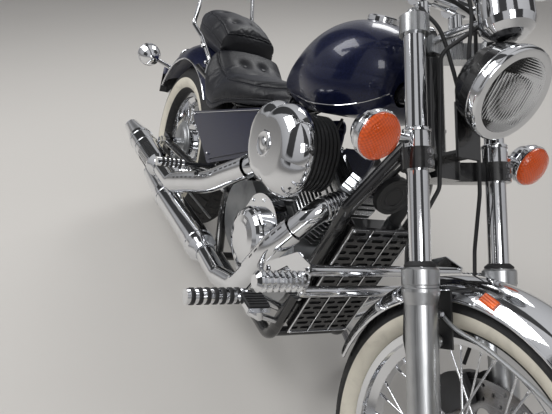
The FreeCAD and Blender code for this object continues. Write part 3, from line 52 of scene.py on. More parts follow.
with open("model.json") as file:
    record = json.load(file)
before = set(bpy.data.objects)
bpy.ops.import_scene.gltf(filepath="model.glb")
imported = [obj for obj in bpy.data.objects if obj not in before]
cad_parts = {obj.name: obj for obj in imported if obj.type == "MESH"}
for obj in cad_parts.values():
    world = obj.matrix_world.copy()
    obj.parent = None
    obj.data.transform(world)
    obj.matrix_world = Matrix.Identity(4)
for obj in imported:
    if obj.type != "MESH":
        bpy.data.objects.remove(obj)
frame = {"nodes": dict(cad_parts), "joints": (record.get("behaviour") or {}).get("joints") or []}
CAD_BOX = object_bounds()
JOINTS = {joint["name"]: joint for joint in frame["joints"]}

# Sizes shared with the solids, in metres
RAKE = math.radians(33.5)
REAR_RADIUS = 0.326
FRONT_RADIUS = 0.331
FRONT_WALL = (0.2545, 0.2855)
REAR_WALL = (0.2200, 0.2570)
LAMP_CENTRE = Vector((1.349, 0.0, 0.970))
LAMP_AIM = Vector((0.995, 0.0, -0.1)).normalized()
CRANK = Vector((0.890, 0.0, 0.365))
CYLINDER_ANGLE = math.radians(26.0)

LEFT = Vector((0.0, 1.0, 0.0))
RIGHT = -LEFT
UP = Vector((0.0, 0.0, 1.0))
AHEAD = Vector((1.0, 0.0, 0.0))
ORIGIN = Vector((0.0, 0.0, 0.0))


# Places

def columns(x, y, z, origin):
    """Matrix that takes a local point to origin + x, y and z times its three numbers."""
    place = Matrix.Identity(4)
    for index, axis in enumerate((x, y, z, origin)):
        for row in range(3):
            place[row][index] = axis[row]
    return place


def joint_axis(name):
    return Vector(JOINTS[name]["axis"]).normalized()


def joint_spot(name):
    return Vector(JOINTS[name]["pos_m"])


def upright_machine():
    """Place of the upright machine's own frame: forward, left and up, from the floor under the rear axle."""
    left = joint_axis("rear_wheel_spin")
    steering = joint_axis("steering")
    ahead = left.cross(steering).normalized()
    forward = math.cos(RAKE) * ahead - math.sin(RAKE) * steering
    up = math.sin(RAKE) * ahead + math.cos(RAKE) * steering
    return columns(forward, left, up, joint_spot("rear_wheel_spin") - REAR_RADIUS * up)


def turned_fork(machine):
    """Place of what is drawn in the machine's frame and steers with the fork."""
    steering = joint_axis("steering")
    angle = joint_axis("rear_wheel_spin").angle(joint_axis("front_wheel_spin"))
    spot = joint_spot("steering")
    turn = Matrix.Rotation(angle, 4, steering)
    return Matrix.Translation(spot) @ turn @ Matrix.Translation(-spot) @ machine


def along_fork(machine, steered):
    """Place of what is drawn ahead of, beside and up along the steering axis, from its floor end."""
    inside = machine.inverted()
    spot = inside @ joint_spot("steering")
    axis = inside.to_3x3() @ joint_axis("steering")
    foot = spot - axis * (spot.z / axis.z)
    return steered @ Matrix.Translation(foot) @ Matrix.Rotation(-RAKE, 4, "Y")


MACHINE = upright_machine()
STEERED = turned_fork(MACHINE)
FORK = along_fork(MACHINE, STEERED)
REAR_HUB = Vector((0.0, 0.0, REAR_RADIUS))
FRONT_HUB = STEERED.inverted() @ joint_spot("front_wheel_spin")
REAR_WHEEL = MACHINE @ Matrix.Translation(REAR_HUB)
FRONT_WHEEL = STEERED @ Matrix.Translation(FRONT_HUB)
PLACES = {"frame": MACHINE, "fork": STEERED, "rear_wheel": REAR_WHEEL, "front_wheel": FRONT_WHEEL,
          "side_stand": MACHINE}
ON_FORK = STEERED.inverted() @ FORK


def fork_point(ahead, side, up):
    """Point of the straight-ahead machine, given in millimetres along and square to the steering axis."""
    return ON_FORK @ (Vector((ahead, side, up)) / 1000.0)


def mm(*numbers):
    return Vector(numbers) / 1000.0


CYLINDERS = {sign: Matrix.Translation(CRANK) @ Matrix.Rotation(sign * CYLINDER_ANGLE, 4, "Y")
             for sign in (1, -1)}

# Spots of the lamps, the dial and the mirrors, and the fork legs' places in millimetres
LEG_AHEAD = 63.0
LEG_BESIDE = 118.0
SLIDER_TOP = 731.15
TAIL_SPOT = Vector((-0.3220, 0.0, 0.5901))
TAIL_AIM = Vector((-0.97, 0.0, 0.2)).normalized()
INDICATOR_REAR = TAIL_SPOT + Vector((0.061, 0.200, 0.006))
INDICATOR_FRONT = fork_point(LEG_AHEAD, 230.0, 963.3) + Vector((0.016, 0.0, 0.0))
SPEEDO_AIM = Vector((-0.62, 0.0, 0.78)).normalized()
SPEEDO_TOP = fork_point(184.15, 0.0, 1144.5) + SPEEDO_AIM * 0.104
MIRROR_FACE = fork_point(39.5, -400.0, 1454.9) - Vector((0.004, 0.0, 0.0))


# Shader expressions

class Wire:
    """A shader output that takes part in Python expressions, each of which adds its Math node."""

    def __init__(self, tree, socket):
        self.tree = tree
        self.socket = socket

    def _math(self, operation, *values):
        return self.tree.node("ShaderNodeMath", {"operation": operation}, dict(enumerate(values)))

    def _vector(self, operation, values, output=0):
        return self.tree.node("ShaderNodeVectorMath", {"operation": operation}, values, output)

    def __add__(self, other):
        return self._math("ADD", self, other)

    def __radd__(self, other):
        return self._math("ADD", other, self)

    def __sub__(self, other):
        return self._math("SUBTRACT", self, other)

    def __rsub__(self, other):
        return self._math("SUBTRACT", other, self)

    def __mul__(self, other):
        return self._math("MULTIPLY", self, other)

    def __rmul__(self, other):
        return self._math("MULTIPLY", other, self)

    def __gt__(self, other):
        return self._math("GREATER_THAN", self, other)

    def __lt__(self, other):
        return self._math("LESS_THAN", self, other)

    def sine(self):
        return self._math("SINE", self)

    def angle_from(self, other):
        return self._math("ARCTAN2", self, other)

    def size(self):
        return self._math("ABSOLUTE", self)

    def largest(self, other):
        return self._math("MAXIMUM", self, other)

    def scaled(self, low, high, to_low=0.0, to_high=1.0, way="SMOOTHSTEP"):
        """From to_low, below low, to to_high, above high, smoothly or in a straight line."""
        return self.tree.node("ShaderNodeMapRange", {"interpolation_type": way}, {
            "Value": self, "From Min": low, "From Max": high, "To Min": to_low, "To Max": to_high})

    def band(self, low, high, soft):
        """1 between low and high, 0 outside, with soft edges."""
        return self.scaled(low - soft, low + soft) * self.scaled(high - soft, high + soft, 1.0, 0.0)

    def minus(self, vector):
        return self._vector("SUBTRACT", {0: self, 1: tuple(vector)})

    def dot(self, vector):
        return self._vector("DOT_PRODUCT", {0: self, 1: tuple(vector)}, "Value")

    def plus(self, other):
        return self._vector("ADD", {0: self, 1: other})

    def stretched_by(self, factor):
        return self._vector("SCALE", {0: self, "Scale": factor})

    def shaded_by(self, other):
        return self._vector("MULTIPLY", {0: self, 1: other})

    def from_axis(self, axis):
        """Distance from the line through the zero point along an axis."""
        crossed = self._vector("CROSS_PRODUCT", {0: self, 1: tuple(axis)})
        return crossed._vector("LENGTH", {0: crossed}, "Value")


class ShaderTree:
    """Adds nodes to a material's or the world's tree."""

    def __init__(self, owner):
        owner.use_nodes = True
        self.owner = owner
        self.nodes = owner.node_tree.nodes

    def node(self, kind, settings, inputs, output=0):
        """Adds a node: its settings first, then the values or links of its sockets."""
        node = self.nodes.new(kind)
        for name, value in settings.items():
            if name == "stops":
                self._stops(node.color_ramp, value)
            else:
                setattr(node, name, value)
        for key, value in inputs.items():
            self.feed(node.inputs[key], value)
        return Wire(self, node.outputs[output])

    def axes(self, vector):
        """The three numbers of a vector."""
        parts = self.nodes.new("ShaderNodeSeparateXYZ")
        self.feed(parts.inputs[0], vector)
        return [Wire(self, socket) for socket in parts.outputs]

    def _stops(self, ramp, stops):
        while len(ramp.elements) < len(stops):
            ramp.elements.new(1.0)
        for element, (position, colour) in zip(ramp.elements, stops):
            element.position = position
            element.color = (*colour, 1.0)

    def feed(self, socket, value):
        if isinstance(value, Wire):
            self.owner.node_tree.links.new(value.socket, socket)
        elif hasattr(value, "__len__") and len(value) == 3 and len(socket.default_value) == 4:
            socket.default_value = (*value, 1.0)
        else:
            socket.default_value = value


class Finish(ShaderTree):
    """A procedural material. Constants go to the shader's own sockets, what varies goes to a few of them."""

    def __init__(self, name, colour, **constants):
        super().__init__(bpy.data.materials.new(name))
        self.material = self.owner
        self.set("Base Color", colour)
        for socket, value in constants.items():
            self.set(socket.replace("_", " ").title().replace("Ior", "IOR"), value)
        self.material.diffuse_color = (*colour[:3], 1.0)

    def set(self, socket, value):
        self.feed(self.nodes["Principled BSDF"].inputs[socket], value)

    def here(self):
        return self.node("ShaderNodeTexCoord", {}, {}, "Object")

    def noise(self, scale, detail=3.0, where=None, distortion=0.0):
        return self.node("ShaderNodeTexNoise", {}, {
            "Vector": where or self.here(), "Scale": scale, "Detail": detail, "Distortion": distortion})

    def cells(self, scale, output="Distance", where=None):
        return self.node("ShaderNodeTexVoronoi", {}, {"Vector": where or self.here(), "Scale": scale}, output)

    def mix(self, factor, first, second):
        return self.node("ShaderNodeMix", {"data_type": "RGBA"}, {0: factor, 6: first, 7: second}, 2)

    def bump(self, height, distance, strength=1.0):
        self.set("Normal", self.node("ShaderNodeBump", {}, {
            "Height": height, "Distance": distance, "Strength": strength}))


def toned(colour, share):
    """The colour made darker, or lighter where the share is over 1."""
    return tuple(c * share for c in colour)


def stretched(finish, place, scale):
    """Object coordinates turned into a place's own axes and stretched along them."""
    where = finish.here()
    parts = [where.minus(place.to_translation()).dot(place.to_3x3().col[i]) * scale[i] for i in range(3)]
    return finish.node("ShaderNodeCombineXYZ", {}, dict(enumerate(parts)))


# Finishes

def chrome():
    """Polished plating with faint smears and pinpricks."""
    tint = (0.80, 0.81, 0.83)
    finish = Finish("chrome", tint, metallic=1.0)
    smear = finish.noise(7.0, 4.0, distortion=0.4)
    spots = finish.noise(260.0, 2.0)
    finish.set("Roughness", smear.scaled(0.42, 0.75, 0.045, 0.13) + spots.scaled(0.6, 0.8, 0.0, 0.05))
    finish.set("Base Color", finish.mix(smear.scaled(0.4, 0.8), tint, toned(tint, 0.9)))
    finish.bump(spots, 0.0002, 0.08)
    return finish.material


def brushed_alloy(name, colour, rough):
    """Satin aluminium with fine streaks along the fork legs."""
    finish = Finish(name, colour, metallic=1.0)
    streak = finish.noise(1.0, 4.0, where=stretched(finish, FORK, (900.0, 900.0, 14.0)))
    cloud = finish.noise(14.0, 3.0)
    finish.set("Roughness", streak.scaled(0.3, 0.7, rough - 0.06, rough + 0.1))
    finish.set("Base Color", finish.mix(cloud.scaled(0.35, 0.75), colour, toned(colour, 0.82)))
    finish.bump(streak, 0.0003, 0.12)
    return finish.material


def cast_alloy(name, colour=(0.40, 0.41, 0.42), rough=0.42):
    """Blasted castings: a fine grain, darker where dirt stays."""
    finish = Finish(name, colour, metallic=0.85)
    grain = finish.noise(520.0, 3.0)
    dirt = finish.noise(11.0, 5.0)
    finish.set("Base Color", finish.mix(dirt.scaled(0.45, 0.75), colour, toned(colour, 0.5)))
    finish.set("Roughness", dirt.scaled(0.3, 0.8, rough - 0.08, rough + 0.18))
    finish.bump(grain, 0.0006, 0.35)
    return finish.material


def finned_alloy():
    """Grey cooling fins with bright machined edges."""
    half_length, half_width, foot, widest = 0.0712, 0.0752, 0.12, 0.078
    finish = Finish("fins", (0.33, 0.34, 0.35), metallic=0.9)
    here = finish.here()
    edges = []
    for tilt in CYLINDERS.values():
        place = MACHINE @ tilt
        local = here.minus(place.to_translation())
        ahead, beside, high = [local.dot(axis) for axis in place.to_3x3().col]
        ahead, beside = ahead.size(), beside.size()
        rim = (ahead - half_length).largest(beside - half_width).scaled(-0.0008, 0.0004)
        edges.append(rim * (high > foot) * (ahead < widest))
    edge = edges[0].largest(edges[1])
    grime = finish.noise(40.0, 4.0)
    base = finish.mix(grime.scaled(0.4, 0.75), (0.30, 0.31, 0.32), (0.10, 0.10, 0.10))
    finish.set("Base Color", finish.mix(edge, base, (0.78, 0.79, 0.80)))
    finish.set("Roughness", 0.45 - edge * 0.24 + grime * 0.1)
    finish.bump(finish.noise(600.0, 2.0), 0.0005, 0.25)
    return finish.material


def black_paint(name="black", colour=(0.012, 0.012, 0.013), rough=0.16):
    finish = Finish(name, colour, coat_weight=0.8, coat_roughness=0.04, specular_ior_level=0.5)
    dust = finish.noise(16.0, 6.0, distortion=0.6)
    finish.set("Base Color", finish.mix(dust.scaled(0.5, 0.9), colour, (0.05, 0.048, 0.045)))
    finish.set("Roughness", dust.scaled(0.35, 0.85, rough, rough + 0.22))
    finish.bump(finish.noise(210.0, 2.0), 0.0003, 0.06)
    return finish.material


def satin_black(name, colour=(0.022, 0.022, 0.023), rough=0.42, grain=900.0):
    """Moulded plastic and rubber, told apart by grain and gloss."""
    finish = Finish(name, colour)
    tone = finish.noise(9.0, 5.0)
    pore = finish.cells(grain)
    finish.set("Base Color", finish.mix(tone.scaled(0.4, 0.8), colour, toned(colour, 2.1)))
    finish.set("Roughness", tone.scaled(0.3, 0.8, rough, rough + 0.16))
    finish.bump(pore, 0.0004, 0.3)
    return finish.material


def navy_paint(colour):
    """Deep navy metallic under clear lacquer: flakes catch the light at all scales."""
    finish = Finish("navy", colour, metallic=0.2, coat_weight=0.5, coat_roughness=0.015,
                    specular_ior_level=0.25)
    flake = finish.cells(2600.0, output="Color")
    shine = finish.node("ShaderNodeSeparateColor", {}, {0: flake})
    bright = tuple(c * 5.0 + 0.006 for c in colour)
    finish.set("Base Color", finish.mix(shine.scaled(0.55, 1.0), colour, bright))
    finish.set("Roughness", shine.scaled(0.0, 1.0, 0.26, 0.36))
    finish.bump(finish.noise(45.0, 2.0), 0.0005, 0.03)
    return finish.material


def tyre_rubber(name, place, wall, cream):
    """Black rubber with a cream ring on both walls, fine mould rings beside it."""
    inner, outer = wall
    finish = Finish(name, (0.016, 0.016, 0.017))
    local = finish.here().minus(place.to_translation())
    axle = place.to_3x3().col[1]
    radius = local.from_axis(axle)
    ring = radius.band(inner, outer, 0.0006)
    stain = finish.noise(22.0, 6.0, distortion=0.8)
    dust = finish.noise(70.0, 5.0)
    black = finish.mix(dust.scaled(0.45, 0.85), (0.014, 0.014, 0.015), (0.045, 0.042, 0.038))
    white = finish.mix(stain.scaled(0.45, 0.95), cream, toned(cream, 0.72))
    finish.set("Base Color", finish.mix(ring, black, white))
    finish.set("Roughness", 0.62 + dust * 0.2 - ring * 0.1)
    lines = (radius * 2600.0).sine() * radius.band(outer + 0.004, outer + 0.013, 0.0004)
    lip = radius.band(inner - 0.0016, inner, 0.0004) + radius.band(outer, outer + 0.0016, 0.0004)
    finish.bump(lines * 0.25 + lip + dust * 0.1, 0.0009, 0.6)
    return finish.material


def leather():
    """Black seat leather: pebbled grain with fine creases and a slight blue sheen."""
    finish = Finish("leather", (0.010, 0.011, 0.014), specular_ior_level=0.40, sheen_weight=0.06,
                    sheen_roughness=0.4, sheen_tint=(0.55, 0.6, 0.8, 1.0))
    bent = finish.here().plus(finish.noise(60.0, 2.0).stretched_by(0.006))
    pebble = finish.cells(420.0, where=bent)
    pore = finish.cells(1300.0, where=bent)
    crease = finish.noise(34.0, 5.0, distortion=1.4)
    worn = finish.noise(7.0, 3.0)
    dark, pale = (0.006, 0.0065, 0.009), (0.016, 0.017, 0.022)
    finish.set("Base Color", finish.mix(worn.scaled(0.45, 0.8), dark, pale))
    finish.set("Roughness", worn.scaled(0.35, 0.8, 0.42, 0.33) + pebble * 0.12)
    finish.bump(pebble * 0.7 + pore * 0.25 + crease.scaled(0.62, 0.7) * 0.4, 0.0007, 0.55)
    return finish.material


def coloured_lens(name, colour, spacing):
    """Moulded lamp lens: prisms inside clear coloured plastic, with a faint painted glow that stands in for
    light caught in the lens.
    """
    finish = Finish(name, colour, roughness=0.12, transmission_weight=0.35, ior=1.49, coat_weight=0.6,
                    coat_roughness=0.03)
    local = stretched(finish, MACHINE, (spacing, spacing, spacing))
    _, sideways, upwards = finish.axes(local)
    prism = sideways.sine() * upwards.sine()
    depth = finish.noise(30.0, 3.0)
    finish.set("Base Color", finish.mix(prism.scaled(-1.0, 1.0), toned(colour, 0.62), colour))
    # Painted glow: the unlit lens emits a faint light of its own, its colour varied by noise.
    finish.set("Emission Color", finish.mix(depth, colour, toned(colour, 0.5)))
    finish.set("Emission Strength", 0.12)
    finish.bump(prism, 0.0006, 0.5)
    return finish.material


def clear_glass():
    finish = Finish("glass", (0.98, 0.99, 1.0), transmission_weight=1.0, ior=1.45)
    smear = finish.noise(12.0, 4.0)
    finish.set("Roughness", smear.scaled(0.4, 0.8, 0.0, 0.05))
    return finish.material


def turned_steel(name, place):
    """Brake disc: rings left by the pads."""
    colour = (0.36, 0.36, 0.37)
    finish = Finish(name, colour, metallic=1.0)
    radius = finish.here().minus(place.to_translation()).from_axis(place.to_3x3().col[1])
    score = finish.noise(1.0, 2.0, where=finish.node("ShaderNodeCombineXYZ", {}, {0: radius * 1500.0}))
    heat = finish.noise(18.0, 4.0)
    finish.set("Base Color", finish.mix(heat.scaled(0.4, 0.8), colour, (0.20, 0.18, 0.16)))
    finish.set("Roughness", score.scaled(0.3, 0.7, 0.22, 0.38))
    finish.bump(score, 0.0003, 0.25)
    return finish.material


def dull_steel(name="steel", colour=(0.30, 0.30, 0.31), rough=0.36):
    finish = Finish(name, colour, metallic=0.95)
    rust = finish.noise(24.0, 6.0, distortion=0.5)
    finish.set("Base Color", finish.mix(rust.scaled(0.58, 0.85), colour, (0.14, 0.09, 0.06)))
    finish.set("Roughness", rust.scaled(0.3, 0.8, rough, rough + 0.25))
    finish.bump(finish.noise(300.0, 3.0), 0.0004, 0.2)
    return finish.material


def bright_reflector():
    """Silvered bowl behind the headlight's lens, with faint vertical facets and a faint painted glow that
    stands in for the light it reflects.
    """
    finish = Finish("reflector", (0.92, 0.92, 0.90), metallic=1.0, emission_strength=0.10)
    local = stretched(finish, STEERED, (1.0, 260.0, 1.0))
    facet = finish.axes(local)[1].sine()
    haze_and_painted_glow = finish.noise(40.0, 3.0)
    finish.set("Roughness", haze_and_painted_glow.scaled(0.35, 0.8, 0.10, 0.22))
    # Painted glow: the bowl emits a faint warm light of its own, set by the same noise as its haze.
    finish.set("Emission Color", finish.mix(haze_and_painted_glow, (1.0, 0.97, 0.90), (0.75, 0.74, 0.72)))
    finish.bump(facet, 0.0006, 0.4)
    return finish.material


def fluted_glass():
    """Headlight lens: upright flutes moulded inside, stronger in the middle."""
    finish = Finish("lamp_glass", (0.98, 0.99, 1.0), transmission_weight=1.0, ior=1.45)
    local = finish.here().minus(STEERED @ LAMP_CENTRE)
    sideways = local.dot(STEERED.to_3x3().col[1])
    upwards = local.dot(STEERED.to_3x3().col[2])
    flutes = (sideways * 900.0).sine() * upwards.band(-0.052, 0.034, 0.003)
    lines = (upwards * 1400.0).sine() * upwards.band(0.040, 0.072, 0.002)
    smear = finish.noise(12.0, 4.0)
    finish.set("Roughness", smear.scaled(0.4, 0.8, 0.0, 0.05))
    finish.bump(flutes + lines * 0.5, 0.0009, 0.5)
    return finish.material


def glowing_glass():
    """Bulb in warm clear glass."""
    finish = Finish("warm_glass", (0.95, 0.72, 0.42), roughness=0.08, emission_strength=0.5)
    spot = finish.noise(90.0, 2.0)
    finish.set("Emission Color", finish.mix(spot, (1.0, 0.78, 0.50), (0.9, 0.6, 0.3)))
    finish.set("Base Color", finish.mix(spot, (0.95, 0.74, 0.46), (0.8, 0.6, 0.36)))
    return finish.material


def flat_ink(name, colour, rough=0.4):
    """Printed or anodised surface with a little wear."""
    finish = Finish(name, colour)
    wear = finish.noise(60.0, 4.0)
    faded = tuple(c * 0.8 + 0.01 for c in colour)
    finish.set("Base Color", finish.mix(wear.scaled(0.4, 0.85), colour, faded))
    finish.set("Roughness", wear.scaled(0.3, 0.8, rough, rough + 0.15))
    return finish.material


def looking_glass():
    finish = Finish("mirror", (0.90, 0.92, 0.93), metallic=1.0)
    dust = finish.noise(50.0, 4.0)
    finish.set("Roughness", dust.scaled(0.45, 0.9, 0.008, 0.06))
    return finish.material


FINISHES = {}

CAD_FINISHES = {
    # node: finish
    "main_frame": "black", "swingarm": "black", "rear_axle": "chrome", "brake_plate": "castings",
    "crankcase": "castings", "cylinders": "fins", "cylinder_heads": "fins", "head_covers": "chrome",
    "engine_covers": "chrome", "intake": "plastic", "air_cleaner_case": "plastic",
    "air_cleaner_cover": "chrome", "exhaust_headers": "chrome", "silencers": "chrome",
    "radiator": "radiator", "radiator_guard": "black", "radiator_hose": "rubber", "horn": "plastic",
    "fuel_tank": "navy", "fuel_cap": "chrome", "rider_seat": "leather", "pillion_seat": "leather",
    "rear_fender": "navy", "sissy_bar": "chrome", "tail_lamp": "chrome", "rear_indicators": "chrome",
    "rear_indicator_lenses": "orange", "side_covers": "navy", "battery_box": "plastic",
    "highway_bars": "chrome", "foot_controls": "chrome", "drive_chain": "chain",
    "fork_tubes": "chrome", "fork_sliders": "sliders", "lower_clamp": "black", "upper_clamp": "alloy",
    "handlebar": "chrome", "grips": "rubber", "hand_controls": "plastic", "mirrors": "chrome",
    "speedometer": "chrome", "headlight_shell": "black", "headlight_lens": "lamp_glass",
    "headlight_bracket": "black", "front_indicators": "chrome", "front_indicator_lenses": "orange",
    "front_fender": "chrome", "front_fender_bracket": "plastic", "front_axle": "chrome",
    "brake_caliper": "plastic", "brake_hose": "rubber", "speedometer_cable": "rubber",
    "front_tyre": "front_tyre", "front_rim": "chrome", "brake_disc": "disc", "rear_tyre": "rear_tyre",
    "rear_rim": "chrome", "sprocket": "steel", "side_stand": "chrome",
}


def make_finishes(paint):
    FINISHES.update({
        "chrome": chrome(),
        "alloy": brushed_alloy("alloy", (0.62, 0.63, 0.64), 0.26),
        "sliders": brushed_alloy("sliders", (0.56, 0.57, 0.58), 0.34),
        "castings": cast_alloy("castings"),
        "fins": finned_alloy(),
        "black": black_paint(),
        "navy": navy_paint(tuple(paint.navy)),
        "rubber": satin_black("rubber", (0.016, 0.016, 0.017), 0.55, 1400.0),
        "plastic": satin_black("plastic"),
        "leather": leather(),
        "glass": clear_glass(),
        "orange": coloured_lens("orange", tuple(paint.orange), 900.0),
        "red": coloured_lens("red", (0.55, 0.012, 0.010), 900.0),
        "reflector": bright_reflector(),
        "lamp_glass": fluted_glass(),
        "warm_glass": glowing_glass(),
        "dial": flat_ink("dial", (0.012, 0.012, 0.014)),
        "white_ink": flat_ink("white_ink", (0.80, 0.80, 0.78)),
        "blank_plate": flat_ink("blank_plate", (0.62, 0.63, 0.62), 0.35),
        "mirror": looking_glass(),
        "steel": dull_steel(),
        "satin_steel": dull_steel("satin_steel", (0.45, 0.46, 0.47), 0.30),
        "fin_sheet": cast_alloy("fin_sheet", (0.16, 0.17, 0.17), 0.45),
        "chain": dull_steel("chain", (0.22, 0.21, 0.20), 0.34),
        "radiator": black_paint("radiator", (0.02, 0.021, 0.022), 0.4),
        "disc": turned_steel("disc", FRONT_WHEEL),
        "front_tyre": tyre_rubber("front_tyre", FRONT_WHEEL, FRONT_WALL, tuple(paint.whitewall)),
        "rear_tyre": tyre_rubber("rear_tyre", REAR_WHEEL, REAR_WALL, tuple(paint.whitewall)),
    })


# Shapes, as points and faces in the machine's frame

class Shape:
    """Points and faces gathered from several forms."""

    def __init__(self):
        self.points = []
        self.faces = []

    def add(self, points, faces):
        first = len(self.points)
        self.points += [Vector(p) for p in points]
        self.faces += [tuple(first + i for i in face) for face in faces]
        return self

    def join(self, other, place=None):
        place = place or Matrix.Identity(4)
        return self.add([place @ p for p in other.points], other.faces)


def across_of(axis):
    """Two directions square to an axis and to each other."""
    helper = UP if abs(axis.z) < 0.9 else AHEAD
    first = axis.cross(helper).normalized()
    return first, axis.cross(first).normalized()


def rings(loops, closed=False, capped=True):
    """Skin over loops of equal length. An open skin gets flat caps."""
    count = len(loops[0])
    points = [p for loop in loops for p in loop]
    faces = []
    spans = len(loops) if closed else len(loops) - 1
    for i in range(spans):
        here, there = i * count, ((i + 1) % len(loops)) * count
        for j in range(count):
            k = (j + 1) % count
            faces.append((here + j, here + k, there + k, there + j))
    if capped and not closed:
        faces.append(tuple(reversed(range(count))))
        faces.append(tuple(range(len(points) - count, len(points))))
    return Shape().add(points, faces)


def turned(base, axis, rows, steps=48):
    """Solid of revolution: rows of (distance along the axis, radius)."""
    axis = Vector(axis).normalized()
    first, second = across_of(axis)
    loops = []
    for distance, radius in rows:
        centre = Vector(base) + axis * distance
        loops.append([centre + (first * math.cos(a) + second * math.sin(a)) * radius
                      for a in (2.0 * math.pi * i / steps for i in range(steps))])
    return rings(loops)


def hoop(base, axis, radius, wire, steps=72, sides=12):
    """Torus round an axis."""
    axis = Vector(axis).normalized()
    first, second = across_of(axis)
    loops = []
    for i in range(steps):
        a = 2.0 * math.pi * i / steps
        out = first * math.cos(a) + second * math.sin(a)
        centre = Vector(base) + out * radius
        loops.append([centre + (out * math.cos(b) + axis * math.sin(b)) * wire
                      for b in (2.0 * math.pi * j / sides for j in range(sides))])
    return rings(loops, closed=True)


def smooth_line(points, steps=8):
    """Curve through the points."""
    points = [Vector(p) for p in points]
    padded = [points[0] * 2.0 - points[1]] + points + [points[-1] * 2.0 - points[-2]]
    made = []
    for a, b, c, d in zip(padded, padded[1:], padded[2:], padded[3:]):
        for i in range(steps):
            t = i / steps
            made.append(0.5 * (2.0 * b + (c - a) * t + (2.0 * a - 5.0 * b + 4.0 * c - d) * t * t
                               + (3.0 * b - a - 3.0 * c + d) * t * t * t))
    return made + [points[-1]]


def swept(line, radius, sides=12, closed=False):
    """Round bar along a line of points. The radius may be a number or one for each point."""
    line = [Vector(p) for p in line]
    count = len(line)
    radii = radius if hasattr(radius, "__len__") else [radius] * count
    loops = []
    first = None
    for i, spot in enumerate(line):
        before = line[i - 1] if closed or i else spot
        after = line[(i + 1) % count] if closed or i < count - 1 else spot
        axis = (after - before).normalized()
        first = across_of(axis)[0] if first is None else (first - axis * first.dot(axis)).normalized()
        second = axis.cross(first)
        loops.append([spot + (first * math.cos(a) + second * math.sin(a)) * radii[i]
                      for a in (2.0 * math.pi * j / sides for j in range(sides))])
    return rings(loops, closed=closed)


def plate(outline, push):
    """Flat plate from an outline of points, pushed along a vector."""
    outline = [Vector(p) for p in outline]
    return rings([outline, [p + Vector(push) for p in outline]])


# Objects

WELD = 0.00001
AS_IT_IS = Matrix.Identity(4)


def shown(name, data):
    """Puts a mesh, lamp or camera in the scene."""
    made = bpy.data.objects.new(name, data)
    bpy.context.scene.collection.objects.link(made)
    return made


def settled(name, mesh, body, finish):
    """Makes a mesh in the row's frame a piece on a body."""
    mesh.materials.clear()
    mesh.materials.append(FINISHES[finish])
    made = shown(name, mesh)
    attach(made, body)
    return made


def sound(mesh, angle=35.0):
    """Merges doubles, turns the faces outwards and marks the sharp edges."""
    work = bmesh.new()
    work.from_mesh(mesh)
    bmesh.ops.remove_doubles(work, verts=work.verts, dist=WELD)
    bmesh.ops.recalc_face_normals(work, faces=work.faces)
    work.to_mesh(mesh)
    work.free()
    mesh.shade_smooth()
    mesh.set_sharp_from_angle(angle=math.radians(angle))
    return mesh


def raw_mesh(name, shape):
    mesh = bpy.data.meshes.new(name)
    mesh.from_pydata([tuple(p) for p in shape.points], [], shape.faces)
    return mesh


def mesh_of(name, shape, place=None):
    mesh = raw_mesh(name, shape)
    if place is not None:
        mesh.transform(place)
    return sound(mesh)


def piece(name, shape, body, finish, place=None, bevel=0.0):
    """A shape in its body's drawing frame, or in another place, becomes a piece that rides on the body."""
    mesh = mesh_of(name, shape, PLACES[body] if place is None else place)
    made = settled(name, mesh, body, finish)
    if bevel:
        edge = made.modifiers.new("edges", "BEVEL")
        edge.width = bevel
        edge.segments = 2
        edge.limit_method = "ANGLE"
        edge.angle_limit = math.radians(40.0)
    return made


def pieces(rows):
    """Makes a piece of each row: its name, shape, body and finish."""
    for row in rows:
        piece(*row)


# Geometry Nodes

class Tree:
    """A Geometry Nodes tree with named inputs, built node by node."""

    def __init__(self, name, inputs):
        self.group = bpy.data.node_groups.new(name, "GeometryNodeTree")
        self.group.interface.new_socket("Geometry", in_out="INPUT", socket_type="NodeSocketGeometry")
        self.group.interface.new_socket("Geometry", in_out="OUTPUT", socket_type="NodeSocketGeometry")
        self.keys = {}
        for label, kind in inputs:
            socket = self.group.interface.new_socket(label, in_out="INPUT", socket_type=kind)
            self.keys[label] = socket.identifier
        self.source = self.group.nodes.new("NodeGroupInput")
        self.sink = self.group.nodes.new("NodeGroupOutput")

    def given(self, label):
        return self.source.outputs[label]

    def node(self, kind, settings, inputs, output=0):
        node = self.group.nodes.new(kind)
        for name, value in settings.items():
            setattr(node, name, value)
        for key, value in inputs.items():
            if isinstance(value, bpy.types.NodeSocket):
                self.group.links.new(value, node.inputs[key])
            else:
                node.inputs[key].default_value = value
        return node.outputs[output]

    def finish(self, geometry):
        """Ends the tree in Realize Instances, a weld and Set Material."""
        real = self.node("GeometryNodeRealizeInstances", {}, {"Geometry": geometry})
        welded = self.node("GeometryNodeMergeByDistance", {}, {
            "Geometry": real, "Distance": self.given("Weld")})
        painted = self.node("GeometryNodeSetMaterial", {}, {
            "Geometry": welded, "Material": self.given("Material")})
        self.group.links.new(painted, self.sink.inputs[0])
        return self


def around_tree():
    """Copies of the object's own mesh, evenly turned round its Y axis."""
    tree = Tree("around", [("Count", "NodeSocketInt"), ("Weld", "NodeSocketFloat"),
                           ("Material", "NodeSocketMaterial")])
    count = tree.given("Count")
    spots = tree.node("GeometryNodePoints", {}, {"Count": count})
    index = tree.node("GeometryNodeInputIndex", {}, {})
    share = tree.node("ShaderNodeMath", {"operation": "DIVIDE"}, {0: index, 1: count})
    angle = tree.node("ShaderNodeMath", {"operation": "MULTIPLY"}, {0: share, 1: 2.0 * math.pi})
    turn = tree.node("ShaderNodeCombineXYZ", {}, {"Y": angle})
    copies = tree.node("GeometryNodeInstanceOnPoints", {}, {
        "Points": spots, "Instance": tree.given("Geometry"), "Rotation": turn})
    return tree.finish(copies)


